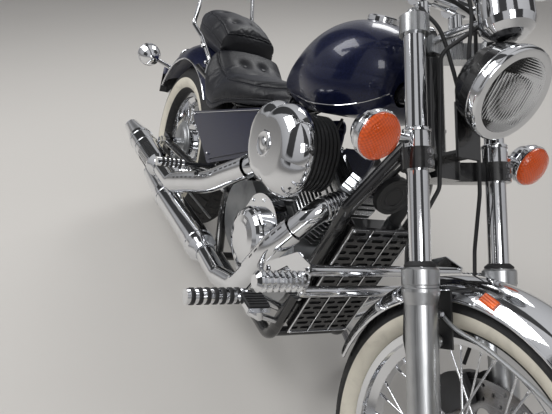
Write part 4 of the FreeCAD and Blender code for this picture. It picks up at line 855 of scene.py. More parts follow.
def row_tree():
    """Copies of the object's own mesh in a row, each one step further on."""
    tree = Tree("row", [("Count", "NodeSocketInt"), ("Step", "NodeSocketVector"),
                        ("Weld", "NodeSocketFloat"), ("Material", "NodeSocketMaterial")])
    line = tree.node("GeometryNodeMeshLine", {"mode": "OFFSET"}, {
        "Count": tree.given("Count"), "Offset": tree.given("Step")})
    copies = tree.node("GeometryNodeInstanceOnPoints", {}, {
        "Points": line, "Instance": tree.given("Geometry")})
    return tree.finish(copies)


def spots_tree():
    """Copies of one fitting on the object's points, each aimed along its own aim."""
    tree = Tree("fittings", [("Fitting", "NodeSocketObject"), ("Scale", "NodeSocketFloat"),
                             ("Weld", "NodeSocketFloat"), ("Material", "NodeSocketMaterial")])
    aim = tree.node("GeometryNodeInputNamedAttribute", {"data_type": "FLOAT_VECTOR"}, {"Name": "aim"})
    side = tree.node("GeometryNodeInputNamedAttribute", {"data_type": "FLOAT_VECTOR"}, {"Name": "side"})
    upright = tree.node("FunctionNodeAlignRotationToVector", {"axis": "Z"}, {"Vector": aim})
    turn = tree.node("FunctionNodeAlignRotationToVector", {"axis": "X", "pivot_axis": "Z"}, {
        "Rotation": upright, "Vector": side})
    fitting = tree.node("GeometryNodeObjectInfo", {}, {"Object": tree.given("Fitting")}, "Geometry")
    copies = tree.node("GeometryNodeInstanceOnPoints", {}, {
        "Points": tree.given("Geometry"), "Instance": fitting, "Rotation": turn,
        "Scale": tree.given("Scale")})
    return tree.finish(copies)


TREES = {}


def plain_result(work):
    """The evaluated object's mesh. The object itself is removed."""
    evaluated = work.evaluated_get(bpy.context.evaluated_depsgraph_get())
    result = bpy.data.meshes.new_from_object(evaluated)
    bpy.data.objects.remove(work)
    return result


def repeated(name, mesh, tree_name, values, body, finish, place=None, angle=35.0):
    """Runs a tree on a mesh and makes the result a plain piece on a body."""
    tree = TREES[tree_name]
    work = shown(name + "_work", mesh)
    modifier = work.modifiers.new("tree", "NODES")
    modifier.node_group = tree.group
    for label, value in {"Weld": WELD, "Material": FINISHES[finish], **values}.items():
        modifier[tree.keys[label]] = value
    bpy.context.view_layer.update()
    result = plain_result(work)
    if place is not None:
        result.transform(place)
    result.name = name
    return settled(name, sound(result, angle), body, finish)


# Tyres

TREAD_STEPS = 14
WALL_STEPS = 12
PITCH_STEPS = 12
BEAD_HEIGHT = 0.014
BEAD_WIDTH = 0.011
GROOVE_LEAN = 0.055


def tyre_profile(size):
    """Half of a tyre's section, from its middle to the bead: rows of radius, width and tread or not."""
    radius, crown, shoulder, half, bead, bead_half = size
    drop = crown - math.sqrt(crown ** 2 - shoulder ** 2)
    made = []
    for i in range(TREAD_STEPS + 1):
        width = shoulder * (i / TREAD_STEPS)
        made.append((radius - crown + math.sqrt(crown ** 2 - width ** 2), width, True))
    first = Vector((radius - drop, shoulder))
    widest = Vector(((bead + radius - crown) / 2.0 + BEAD_HEIGHT, half))
    last = Vector((bead + BEAD_HEIGHT, bead_half))
    for i in range(1, WALL_STEPS + 1):
        spot = arc_point(first, widest, last, i / WALL_STEPS)
        made.append((spot.x, spot.y, False))
    return made + [(bead, bead_half, False), (bead, bead_half - BEAD_WIDTH, False)]


def tyre_pitch(size, count, depth):
    """One pitch of a tyre's outer skin and bore: slanted grooves cut into the tread, a rib at the middle."""
    shoulder = size[2]
    half = tyre_profile(size)
    full = [(r, -w, tread) for r, w, tread in reversed(half[1:])] + half
    points = []
    step = 2.0 * math.pi / count / PITCH_STEPS
    for column in range(PITCH_STEPS + 1):
        for r, w, tread in full:
            outward = abs(w) / shoulder
            angle = step * column + (GROOVE_LEAN * outward if tread else GROOVE_LEAN)
            cut = depth * tread_cut(column % PITCH_STEPS, outward) if tread else 0.0
            points.append(Vector(((r - cut) * math.cos(angle), w, (r - cut) * math.sin(angle))))
    wide = len(full)
    faces = [(i * wide + j, i * wide + j + 1, (i + 1) * wide + j + 1, (i + 1) * wide + j)
             for i in range(PITCH_STEPS) for j in range(wide - 1)]
    return Shape().add(points, faces)


def arc_point(a, b, c, t):
    """Point on the circle's arc from a through b to c."""
    d = 2.0 * (a.x * (b.y - c.y) + b.x * (c.y - a.y) + c.x * (a.y - b.y))
    sa, sb, sc = a.length_squared, b.length_squared, c.length_squared
    centre = Vector(((sa * (b.y - c.y) + sb * (c.y - a.y) + sc * (a.y - b.y)) / d,
                     (sa * (c.x - b.x) + sb * (a.x - c.x) + sc * (b.x - a.x)) / d))
    start = math.atan2(a.y - centre.y, a.x - centre.x)
    swing = math.atan2(c.y - centre.y, c.x - centre.x) - start
    swing = (swing + math.pi) % (2.0 * math.pi) - math.pi
    angle = start + swing * t
    return centre + Vector((math.cos(angle), math.sin(angle))) * (a - centre).length


def tread_cut(column, outward):
    """How deep the tread is cut: slanted side grooves, and a ring groove each side of the middle rib."""
    rows = (
        # from and to, as shares of the half width, the columns cut and the share of the full depth
        (0.26, 0.36, range(PITCH_STEPS), 1.0),
        (0.36, 0.97, (3, 4), 1.0),
        (0.05, 0.26, (9,), 0.6),
    )
    for low, high, cut_columns, share in rows:
        if low < outward < high and column in cut_columns:
            return share
    return 0.0


class TyreSettings(bpy.types.PropertyGroup):
    """Sizes of the tread"""

    front_pitches: IntProperty(name="Front Pitches", description="Tread blocks round the front tyre",
                               default=54, min=20, max=90)
    rear_pitches: IntProperty(name="Rear Pitches", description="Tread blocks round the rear tyre",
                              default=46, min=20, max=90)
    groove: FloatProperty(name="Groove", description="Depth of the tread", default=0.006,
                          min=0.001, max=0.01, unit="LENGTH")


class MOTORCYCLE_OT_tyres(bpy.types.Operator):
    """Builds both tyres with grooved treads"""

    bl_idname = "motorcycle.tyres"
    bl_label = "Tyres"

    def execute(self, context):
        settings = context.scene.motorcycle_tyres
        rows = (
            # node, radius, crown, shoulder, half, bead and bead's half, pitches, body
            ("front_tyre", (FRONT_RADIUS, 0.052, 0.04675, 0.050, 0.241, 0.0315), settings.front_pitches,
             "front_wheel"),
            ("rear_tyre", (REAR_RADIUS, 0.095, 0.0795, 0.085, 0.1905, 0.05355), settings.rear_pitches,
             "rear_wheel"),
        )
        for node, size, count, body in rows:
            mesh = raw_mesh(node, tyre_pitch(size, count, settings.groove))
            made = repeated(node + "_treaded", mesh, "around", {"Count": count}, body, node,
                            PLACES[body], 30.0)
            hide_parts(node)
        return {"FINISHED"}


# Drawing aids: places in millimetres, boxes, lines on a solid, fittings

def boxed(low, high):
    """Box between two corners in millimetres."""
    (a, b, c), (d, e, f) = low, high
    corners = [mm(x, y, z) for x in (a, d) for y in (b, e) for z in (c, f)]
    faces = [(0, 1, 3, 2), (4, 6, 7, 5), (0, 4, 5, 1), (2, 3, 7, 6), (0, 2, 6, 4), (1, 5, 7, 3)]
    return Shape().add(corners, faces)


def flipped(shape):
    """Mirror image on the machine's other side."""
    points = [Vector((p.x, -p.y, p.z)) for p in shape.points]
    return Shape().add(points, [tuple(reversed(face)) for face in shape.faces])


def both(shape):
    return Shape().join(shape).join(flipped(shape))


def gathered(shapes):
    whole = Shape()
    for shape in shapes:
        whole.join(shape)
    return whole


def copied(node):
    """Copy of a solid's mesh with its doubles merged."""
    mesh = frame["nodes"][node].data.copy()
    work = bmesh.new()
    work.from_mesh(mesh)
    bmesh.ops.remove_doubles(work, verts=work.verts, dist=WELD)
    work.to_mesh(mesh)
    work.free()
    return mesh


def skin_of(mesh):
    work = bmesh.new()
    work.from_mesh(mesh)
    tree = BVHTree.FromBMesh(work)
    work.free()
    return tree


def lifted(skin, line, lift):
    """The line's points, moved to the nearest spots of a skin and lifted from it."""
    made = []
    for spot in line:
        near, normal, _, _ = skin.find_nearest(spot)
        made.append(near + normal * lift)
    return made


def laid(skin, points, lift, steps=12):
    """A curve through points of the machine's frame, laid on a skin in the row's frame."""
    return lifted(skin, smooth_line([MACHINE @ mm(*p) for p in points], steps), lift)


def bolt(radius, height=None):
    """Hexagon head on a washer, its foot at the origin, pointing up Z, in millimetres."""
    radius = radius / 1000.0
    height = height / 1000.0 if height else radius * 0.8
    thick, wide = radius * 0.18, radius * 1.3
    washer = turned(ORIGIN, UP, [(0.0, wide), (thick, wide)], 20)
    head = turned(ORIGIN, UP, [(thick, radius), (height, radius), (height * 1.14, radius * 0.86)], 6)
    return Shape().join(washer).join(head)


def dome_nut(radius):
    """Acorn nut: a hexagon under a round cap, in millimetres."""
    radius = radius / 1000.0
    flat, cap = radius * 0.8, radius * 0.84
    foot = turned(ORIGIN, UP, [(0.0, radius), (flat, radius)], 6)
    rows = [(flat + flat * math.sin(a), cap * math.cos(a))
            for a in (math.radians(t) for t in (0, 18, 36, 54, 72, 86))]
    return Shape().join(foot).join(turned(ORIGIN, UP, rows, 20))


def fitted(name, fitting, spots, body, finish, place=None):
    """Copies of a fitting at (spot, aim, side) rows drawn in a place: aim is its own Z, side its X."""
    place = PLACES[body] if place is None else place
    turn = place.to_3x3()
    mesh = bpy.data.meshes.new(name)
    mesh.from_pydata([tuple(place @ Vector(row[0])) for row in spots], [], [])
    for label, index in (("aim", 1), ("side", 2)):
        layer = mesh.attributes.new(label, "FLOAT_VECTOR", "POINT")
        for item, row in zip(layer.data, spots):
            item.vector = turn @ Vector(row[index])
    pattern = shown(name + "_fitting", mesh_of(name + "_fitting", fitting))
    made = repeated(name, mesh, "fittings", {"Fitting": pattern, "Scale": 1.0}, body, finish)
    bpy.data.objects.remove(pattern)
    return made


def ring_spots(centre, aim, radius, count, first=0.0):
    """Rows for fittings evenly spaced on a circle."""
    aim = Vector(aim).normalized()
    a, b = across_of(aim)
    made = []
    for i in range(count):
        turn = math.radians(first + 360.0 * i / count)
        out = a * math.cos(turn) + b * math.sin(turn)
        made.append((Vector(centre) + out * radius, aim, out))
    return made


def facing(aim, *spots):
    """Rows for fittings that all face one way, at places in millimetres."""
    aim = Vector(aim).normalized()
    side = across_of(aim)[0]
    return [(mm(*spot), aim, side) for spot in spots]


# Turned forms and wire rings

BOWL = ((11.2, 79.5), (20.5, 74.2), (30, 65.2), (39, 51.2), (50, 34.5), (57.5, 19.5))
BOWL_WALL = 0.6
PROFILES = {
    # name: steps round, and rows of (distance along the axis, radius) in millimetres
    "reflector": (96, BOWL + tuple((far, radius + BOWL_WALL) for far, radius in reversed(BOWL))),
    "bulb": (24, ((-56, 10.5), (-50, 10.5), (-48, 8.5), (-26, 8.5), (-20, 6), (-17, 1))),
    "bulb_hood": (24, ((-16.5, 9.5), (-11.5, 9.5), (-9.5, 7))),
    "headlight_rim": (96, ((-4.6, 81.2), (-5, 84.2), (-4.6, 87.2), (-2.2, 89.6), (2, 90.8), (12, 90.8),
                           (14.4, 90.4), (15, 89.2), (14, 88.8), (0, 90.4), (-3, 87.4), (-4, 81.4))),
    "tail_lens": (64, ((21.5, 44.5), (24.5, 43.6), (34.5, 38.8), (40.5, 26.8), (42.6, 10.8), (42.8, 0.8))),
    "dial": (64, ((0.2, 49), (0.8, 49), (1, 48.8))),
    "dial_hub": (24, ((1.1, 6.2), (4.1, 5.8), (4.9, 4.2))),
    "dial_glass": (64, ((5, 49), (6.2, 49), (7.4, 34), (7.8, 1))),
    "dial_bezel": (64, ((0, 54.5), (6, 54.5), (7.8, 53), (8, 50.8), (6.4, 49.4), (0, 49.2))),
    "mirror": (64, ((0.2, 49), (1.2, 49), (1.8, 48.4))),
    "seat_button": (24, ((-2, 9.5), (0.5, 10), (2.5, 8.5), (3.8, 5), (4.2, 0.8))),
    "nipple": (10, ((-2, 4.2), (2, 4.2), (4, 3.4), (13, 3.2), (14, 2.4))),
    "valve": (16, ((0, 5), (6, 5), (8, 3), (22, 3), (23, 3.8), (34, 3.6))),
    "chain_pin": (10, ((-10, 2.6), (10, 2.6))),
    "chain_roller": (12, ((-5.4, 5), (5.4, 5))),
    "crest": (56, ((0, 31), (1.6, 31), (3, 29.5), (3.4, 27), (2.2, 25), (2, 15), (3.4, 13), (5.2, 9),
                   (5.8, 1))),
    "plug_cap": (20, ((0, 10), (4, 11), (20, 9.8), (24, 6.6))),
    "fork_seal": (40, ((0.6, 28.5), (4, 29), (6, 27.5), (8.5, 24), (11, 21.2))),
    "collar": (40, ((31, 26.2), (33, 27), (37, 27), (39, 25))),
    "rider_band": (32, ((0, 17.8), (0, 19.2), (1.2, 20), (8.8, 20), (10, 19.2), (10, 17.8))),
    "passenger_band": (28, ((0, 13.8), (0, 15.2), (1.2, 15.8), (6.8, 15.8), (8, 15.2), (8, 13.8))),
    "lever_rubber": (32, ((0, 11.2), (0, 14.5), (2, 15.2), (40, 15.2), (43, 14), (48.2, 11.2))),
}
HOOPS = {
    # name: set back, radius and wire radius in millimetres, steps round and sides of the wire
    "headlight": (18, 87.2, 2.2, 96, 12),
    "indicator_front": (0.5, 43.6, 2.2, 64, 10),
    "indicator_back": (14, 43.2, 1.2, 64, 8),
    "tail": (-20.5, 46.2, 1.6, 64, 10),
    "mirror": (0.2, 50.8, 2, 64, 10),
    "silencer_tip": (1.5, 28.2, 2.2, 56, 10),
}
WIRES = {
    # name: radius in millimetres and sides
    "plate_edge": (1.2, 8), "tank_stripe": (1.2, 8), "cover_stripe": (1.3, 8), "guard_bar": (1.4, 8),
    "guard_frame": (2.2, 10), "front_bead": (3, 10), "rear_bead": (3.2, 10), "stay": (4.2, 10),
    "cable": (4, 10), "plug_lead": (3.8, 10), "spring": (1.3, 6),
}
BLOCKS = {
    # name: two corners in millimetres
    "dial_tick": ((-3.4, -0.5, 0.0), (3.4, 0.5, 0.3)),
    "shield_slot": ((-7.0, -2.2, -0.4), (7.0, 2.2, 0.15)),
    "silencer_slit": ((-2.2, -7.5, -0.6), (2.2, 7.5, 0.35)),
    "radiator_fin": ((-9.0, -75.0, -148.0), (-7.0, 75.0, -147.0)),
    "reflector": ((-16.0, -9.0, -1.0), (16.0, 9.0, 4.0)),
    "pedal_pad": ((1162, -298, 408), (1213, -247, 413)),
    "pedal_rib": ((1166, -296, 413), (1170, -249, 415.5)),
}


def lathe(name, base, aim):
    """Form turned to a profile, along an aim."""
    steps, rows = PROFILES[name]
    return turned(base, aim, [(far / 1000.0, radius / 1000.0) for far, radius in rows], steps)


def wire_ring(name, centre, aim):
    """Ring of wire round an aim."""
    back, radius, wire, steps, sides = HOOPS[name]
    return hoop(centre - aim * back / 1000.0, aim, radius / 1000.0, wire / 1000.0, steps, sides)


def wired(name, line, closed=False):
    """Wire along a line."""
    radius, sides = WIRES[name]
    return swept(line, radius / 1000.0, sides, closed)


def block(name):
    return boxed(*BLOCKS[name])


# Seats

SWELL_FRAMES = 20
VOXEL = 0.005
SEAM = (0.004, 0.006)
TUFT = (0.011, 0.020)


def applied(mesh, kind, settings):
    """Runs one modifier on a mesh and returns the result."""
    work = shown("work", mesh)
    modifier = work.modifiers.new("step", kind)
    for name, value in settings.items():
        setattr(modifier, name, value)
    return plain_result(work)


def coordinates(mesh, source="vertices"):
    values = np.empty(len(mesh.vertices) * 3)
    if source == "vertices":
        mesh.vertices.foreach_get("co", values)
    else:
        mesh.vertex_normals.foreach_get("vector", values)
    return values.reshape(-1, 3)


def place_points(mesh, spots):
    mesh.vertices.foreach_set("co", spots.ravel())
    mesh.update()


def free_share(mesh):
    """How freely each point of a pad may swell: not at all where it faces down or to the middle."""
    inside = MACHINE.inverted()
    turn = np.array(inside.to_3x3()).T
    normals = coordinates(mesh, "normals") @ turn
    spots = coordinates(mesh) @ turn + np.array(inside.to_translation())
    up = normals[:, 2]
    outward = normals[:, 1] * np.sign(spots[:, 1])
    return np.clip((up + 0.45) / 0.35, 0.0, 1.0) * np.clip((outward + 0.55) / 0.3, 0.0, 1.0)


def blown(mesh, pressure, cap, share):
    """Inflates a closed mesh with Cloth. No point moves further than its share of the cap."""
    rest = coordinates(mesh)
    work = shown("pad_work", mesh)
    scene = bpy.context.scene
    modifier = work.modifiers.new("swell", "CLOTH")
    modifier.settings.use_pressure = True
    modifier.settings.uniform_pressure_force = pressure
    modifier.settings.effector_weights.gravity = 0.0
    modifier.point_cache.frame_start = 1
    modifier.point_cache.frame_end = SWELL_FRAMES
    for number in range(1, SWELL_FRAMES + 1):
        scene.frame_set(number)
    evaluated = work.evaluated_get(bpy.context.evaluated_depsgraph_get())
    after = coordinates(evaluated.data)
    bpy.data.objects.remove(work, do_unlink=True)
    scene.frame_set(1)
    move = after - rest
    length = np.linalg.norm(move, axis=1)
    scale = np.minimum(1.0, cap / np.maximum(length, 0.000001)) * share
    place_points(mesh, rest + move * scale[:, None])


def pressed(mesh, marks):
    """Sews marks in: rows of points and (depth, width) push the nearby skin inwards."""
    spots = coordinates(mesh)
    normals = coordinates(mesh, "normals")
    push = np.zeros(len(spots))
    for points, (depth, width) in marks:
        nearest = np.full(len(spots), np.inf)
        for point in points:
            nearest = np.minimum(nearest, np.linalg.norm(spots - np.array(point), axis=1))
        push = np.maximum(push, depth * np.exp(-(nearest / width) ** 2))
    place_points(mesh, spots - normals * push[:, None])


def padded_seat(node, settings):
    """Remeshes a seat's solid, lets it swell and returns its mesh."""
    mesh = applied(copied(node), "REMESH", {"mode": "VOXEL", "voxel_size": VOXEL})
    share = free_share(mesh)
    normals = coordinates(mesh, "normals")
    place_points(mesh, coordinates(mesh) - normals * (settings.shrink * share[:, None]))
    blown(mesh, settings.pressure, settings.cap, share)
    return applied(mesh, "SUBSURF", {"levels": 1, "render_levels": 1})


def other_side(points):
    return tuple((x, -y, z) for x, y, z in points)


RIDER_EDGE = ((238, -112, 768), (290, -124, 735), (360, -130, 716), (450, -130, 712), (550, -108, 732),
              (640, -78, 760), (716, -52, 786))
RIDER_HEM = ((246, -140, 690), (300, -150, 616), (360, -150, 600), (450, -150, 640), (560, -124, 682),
             (660, -90, 716))
SEAMS = {
    # node: rows of name and points in millimetres
    "rider_seat": (
        ("right_edge", RIDER_EDGE),
        ("left_edge", other_side(RIDER_EDGE)),
        ("front_panel", ((560, -104, 736), (596, -60, 768), (606, 0, 772), (596, 60, 768), (560, 104, 736))),
        ("lower_hem_right", RIDER_HEM),
        ("lower_hem_left", other_side(RIDER_HEM)),
    ),
    "pillion_seat": (
        ("top_right", ((226, -86, 815), (150, -92, 850), (40, -90, 852), (-50, -76, 848), (-108, -50, 838),
                       (-116, 0, 842), (-108, 50, 838), (-50, 76, 848), (40, 90, 852), (150, 92, 850),
                       (226, 86, 815))),
        ("front_edge", ((226, -86, 815), (236, -50, 824), (236, 0, 828), (236, 50, 824), (226, 86, 815))),
        ("side_right", ((232, -106, 772), (110, -112, 790), (-20, -98, 792), (-90, -74, 790), (-118, 0, 786),
                        (-90, 74, 790), (-20, 98, 792), (110, 112, 790), (232, 106, 772))),
    ),
}
BUTTONS = {
    "rider_seat": ((318, -36, 740), (318, 36, 740), (404, -30, 742), (404, 30, 742)),
    "pillion_seat": ((150, -40, 852), (150, 40, 852), (30, -36, 858), (30, 36, 858)),
}


class SeatSettings(bpy.types.PropertyGroup):
    """How the seats are stuffed and sewn"""

    pressure: FloatProperty(name="Stuffing", description="Pressure that swells the pads", default=4.0,
                            min=0.0, max=20.0)
    cap: FloatProperty(name="Swell", description="Furthest that a pad's skin moves", default=0.008,
                       min=0.0, max=0.03, unit="LENGTH")
    shrink: FloatProperty(name="Shrink", description="How much smaller a pad starts", default=0.005,
                          min=0.0, max=0.02, unit="LENGTH")
    piping: FloatProperty(name="Piping", description="Radius of the sewn welts", default=0.0024,
                          min=0.0005, max=0.006, unit="LENGTH")


class MOTORCYCLE_OT_seats(bpy.types.Operator):
    """Stuffs, sews and buttons both leather seats"""

    bl_idname = "motorcycle.seats"
    bl_label = "Seats"

    def execute(self, context):
        settings = context.scene.motorcycle_seats
        for node, rows in SEAMS.items():
            mesh = padded_seat(node, settings)
            skin = skin_of(mesh)
            lines = [laid(skin, points, 0.0) for _, points in rows]
            buttons = [laid(skin, (spot, spot), 0.0, 1)[0] for spot in BUTTONS[node]]
            pressed(mesh, [(line, SEAM) for line in lines] + [([spot], TUFT) for spot in buttons])
            mesh.shade_smooth()
            pad = settled(node + "_pad", mesh, "frame", "leather")
            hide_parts(node)
            skin = skin_of(mesh)
            for (name, _), line in zip(rows, lines):
                welt = swept(lifted(skin, line, settings.piping * 0.4), settings.piping, 8)
                piece(node + "_" + name, welt, "frame", "leather", AS_IT_IS)
            caps = Shape()
            for spot in buttons:
                near, normal, _, _ = skin.find_nearest(spot)
                caps.join(lathe("seat_button", near, normal))
            piece(node + "_buttons", caps, "frame", "leather", AS_IT_IS)
        return {"FINISHED"}


# Lamps and instrument

PLATE_LOW = TAIL_SPOT * 1000.0 + Vector((-62.5, -88.0, -168.0))
PLATE_HIGH = TAIL_SPOT * 1000.0 + Vector((-61.2, 88.0, -62.0))
DIAL_SWEEP = 260.0
DIAL_TICKS = 36
TICK_RADIUS = 0.0425
NEEDLE_AT = 2.0


class MOTORCYCLE_OT_lamps(bpy.types.Operator):
    """Adds the headlight's reflector, bulb and rim, the lamps' rings, the dial and the mirrors' glass"""

    bl_idname = "motorcycle.lamps"
    bl_label = "Lamps"

    def execute(self, context):
        pieces((
            # name, shape, body, finish
            ("headlight_reflector", lathe("reflector", LAMP_CENTRE, -LAMP_AIM), "fork", "reflector"),
            ("headlight_bulb", lathe("bulb", LAMP_CENTRE, LAMP_AIM), "fork", "warm_glass"),
            ("headlight_bulb_hood", lathe("bulb_hood", LAMP_CENTRE, LAMP_AIM), "fork", "chrome"),
            ("headlight_rim", lathe("headlight_rim", LAMP_CENTRE, -LAMP_AIM), "fork", "chrome"),
            ("headlight_bezel", wire_ring("headlight", LAMP_CENTRE, LAMP_AIM), "fork", "chrome"),
            ("front_indicator_rings", self.indicator_rings(INDICATOR_FRONT, AHEAD), "fork", "chrome"),
            ("rear_indicator_rings", self.indicator_rings(INDICATOR_REAR, -AHEAD), "frame", "chrome"),
            ("tail_lamp_lens", lathe("tail_lens", TAIL_SPOT, TAIL_AIM), "frame", "red"),
            ("tail_lamp_ring", wire_ring("tail", TAIL_SPOT, TAIL_AIM), "frame", "chrome"),
        ))
        self.plate()
        self.dial()
        pieces((
            # name, shape, body, finish
            ("mirror_glass", both(lathe("mirror", MIRROR_FACE, -AHEAD)), "fork", "mirror"),
            ("mirror_rims", both(wire_ring("mirror", MIRROR_FACE, AHEAD)), "fork", "chrome"),
        ))
        return {"FINISHED"}

    def indicator_rings(self, centre, aim):
        made = Shape()
        for side in (-1.0, 1.0):
            middle = Vector((centre.x, side * abs(centre.y), centre.z))
            made.join(wire_ring("indicator_front", middle, aim))
            made.join(wire_ring("indicator_back", middle, aim))
        return made

    def plate(self):
        """Bare plate with a bright edge and four nuts."""
        low, high = PLATE_LOW, PLATE_HIGH
        piece("number_plate", boxed(tuple(low), tuple(high)), "frame", "blank_plate", bevel=0.0005)
        bottom, top = low.z + 2.0, high.z - 2.0
        edge = [mm(low.x, y, z) for y, z in ((-86, bottom), (86, bottom), (86, top), (-86, top))]
        piece("number_plate_edge", wired("plate_edge", edge, closed=True), "frame", "chrome")
        nuts = [(low.x, y, z) for y in (-62.0, 62.0) for z in (low.z + 12.0, high.z - 12.0)]
        fitted("number_plate_bolts", dome_nut(4.2), [(mm(*spot), -AHEAD, LEFT) for spot in nuts], "frame",
               "chrome")

    def dial(self):
        """Face, ticks, needle, glass and bezel."""
        up, base = SPEEDO_AIM, SPEEDO_TOP
        side = across_of(up)[0]
        piece("speedometer_dial", lathe("dial", base, up), "fork", "dial")
        ticks = []
        for i in range(DIAL_TICKS + 1):
            angle = math.radians(DIAL_SWEEP * (i / DIAL_TICKS - 0.5))
            out = Matrix.Rotation(angle, 3, up) @ side
            ticks.append((base + up * 0.0011 + out * TICK_RADIUS, up, out))
        fitted("speedometer_ticks", block("dial_tick"), ticks, "fork", "white_ink")
        hand = Matrix.Rotation(math.radians(NEEDLE_AT - DIAL_SWEEP / 2.0), 3, up) @ side
        pivot = base + up * 0.0028
        needle = swept([pivot - hand * 0.010, pivot + hand * 0.036], [0.0016, 0.0006], 8)
        pieces((
            # name, shape, body, finish
            ("speedometer_needle", needle, "fork", "orange"),
            ("speedometer_hub", lathe("dial_hub", base, up), "fork", "plastic"),
            ("speedometer_glass", lathe("dial_glass", base, up), "fork", "glass"),
            ("speedometer_bezel", lathe("dial_bezel", base, up), "fork", "chrome"),
        ))


# Fittings

GUARD = Matrix.Translation(Vector((1.143, 0.0, 0.420))) @ Matrix.Rotation(math.radians(15.4), 4, "Y")
FORK_UP = (ON_FORK.to_3x3() @ UP).normalized()
FORK_AHEAD = (ON_FORK.to_3x3() @ AHEAD).normalized()


def two_sided(rows):
    """The rows and their mirror images."""
    def flip(vector):
        return Vector((vector[0], -vector[1], vector[2]))

    return rows + [(flip(spot), flip(aim), flip(side)) for spot, aim, side in rows]


def on_level(aim, y, spots):
    """Rows for fittings at places (x, z) that share their y, all in millimetres."""
    return facing(aim, *[(x, y, z) for x, z in spots])


def head_nuts():
    made = []
    for place in CYLINDERS.values():
        turn = place.to_3x3()
        made += [(place @ mm(x, y, 351.3), turn @ UP, turn @ AHEAD) for x in (-59, 59) for y in (-42, 42)]
    return made


def on_fork(aim, *spots):
    """Rows for fittings at places ahead of, beside and up along the steering axis, in millimetres."""
    return [(fork_point(*spot), aim, LEFT) for spot in spots]


def disc_rows(radius, count, y, first=0.0):
    return ring_spots(mm(0.0, y, 0.0), LEFT, radius / 1000.0, count, first)


class MOTORCYCLE_OT_bolts(bpy.types.Operator):
    """Sets the bolts, nuts and caps, each row of them as one piece"""

    bl_idname = "motorcycle.bolts"
    bl_label = "Bolts"

    def execute(self, context):
        clutch = ((806, 470), (862, 497), (930, 487), (975, 432), (990, 370), (968, 300), (915, 267),
                  (850, 261), (786, 306), (780, 402))
        chain_cover = ((716, 462), (644, 430), (611, 386), (636, 318), (728, 302))
        side_cover = ((240, 523), (702, 676), (430, 452))
        highway_plate = ((1108, 441), (1252, 474), (1252, 527))
        risers = [(27 + x, y, 1300.5) for x in (-14, 14) for y in (-60, -44, 44, 60)]
        clamp = [(93, y, up) for y in (-LEG_BESIDE, LEG_BESIDE) for up in (918, 938)]
        caps = [(LEG_AHEAD, y, 1213) for y in (-LEG_BESIDE, LEG_BESIDE)]
        guard = [(GUARD @ mm(0, y, z), GUARD.to_3x3() @ AHEAD, LEFT) for y in (-86, 86) for z in (-181, 181)]
        rows = (
            # name, fitting, spots, body, finish
            ("clutch_cover_bolts", bolt(4.6), on_level(RIGHT, -133.3, clutch), "frame", "chrome"),
            ("chain_cover_bolts", bolt(4.6), on_level(LEFT, 135.3, chain_cover), "frame", "chrome"),
            ("head_cover_nuts", dome_nut(6), head_nuts(), "frame", "chrome"),
            ("side_cover_screws", dome_nut(5), two_sided(on_level(RIGHT, -136.3, side_cover)), "frame",
             "chrome"),
            ("sissy_bar_bolts", dome_nut(7.5), two_sided(on_level(RIGHT, -129, ((215, 701), (150, 742)))),
             "frame", "chrome"),
            ("highway_plate_bolts", bolt(7), two_sided(on_level(RIGHT, -217, highway_plate)), "frame",
             "chrome"),
            ("rear_axle_nuts", bolt(13.5, 12), two_sided([(mm(0, -156, 0) + REAR_HUB, RIGHT, UP)]), "frame",
             "chrome"),
            ("swingarm_caps", dome_nut(11), two_sided([(mm(545, -98, 380), RIGHT, UP)]), "frame", "chrome"),
            ("front_axle_nuts", bolt(12.5, 10), two_sided([(FRONT_HUB + mm(0, -156.3, 0), RIGHT, UP)]),
             "fork", "chrome"),
            ("fork_cap_nuts", bolt(10.5, 7), on_fork(FORK_UP, *caps), "fork", "alloy"),
            ("stem_nut", dome_nut(18), on_fork(FORK_UP, (0, 0, 1209.8)), "fork", "chrome"),
            ("riser_bolts", bolt(5.5), on_fork(FORK_UP, *risers), "fork", "chrome"),
            ("lower_clamp_bolts", bolt(6.2), on_fork(FORK_AHEAD, *clamp), "fork", "steel"),
            ("disc_bolts", bolt(5), disc_rows(30, 5, 69), "front_wheel", "steel"),
            ("disc_rivets", dome_nut(4), disc_rows(100, 10, 69, 18), "front_wheel", "steel"),
            ("sprocket_bolts", bolt(6.5), disc_rows(68, 6, 108), "rear_wheel", "steel"),
            ("guard_bolts", dome_nut(4.5), guard, "frame", "chrome"),
        )
        for row in rows:
            fitted(*row)
        return {"FINISHED"}


# Wheels' small parts and the chain

SPOKES = 36
LACE = 48.0
NIPPLE_BESIDE = 6.0
CHAIN_PITCH = 0.03175
LINK = 0.0159
LINK_EYE = 0.0068
LINK_WAIST = 0.0050
WAIST_AT = 0.0079
LAYERS = ((0.0, 0.0074, 0.0090), (-LINK, 0.0056, 0.0072))
SMALL_CENTRE = mm(655, 104, 385)
BIG_CENTRE = mm(0, 104, 326)
SMALL_SPROCKET = 0.0480
BIG_SPROCKET = 0.1120


def spoke_rows(rim_r, hub_r, flange_at):
    """A row for each spoke's nipple, at the rim and aimed at the hub's flange."""
    made = []
    for i in range(SPOKES):
        flank = 1.0 if i % 2 else -1.0
        swing = LACE if (i // 2) % 2 else -LACE
        at_rim = 360.0 * i / SPOKES
        start = polar(ORIGIN, rim_r, at_rim, flank * NIPPLE_BESIDE)
        end = polar(ORIGIN, hub_r, at_rim + swing, flank * flange_at)
        aim = (end - start).normalized()
        made.append((start, aim, aim.cross(LEFT).normalized()))
    return made


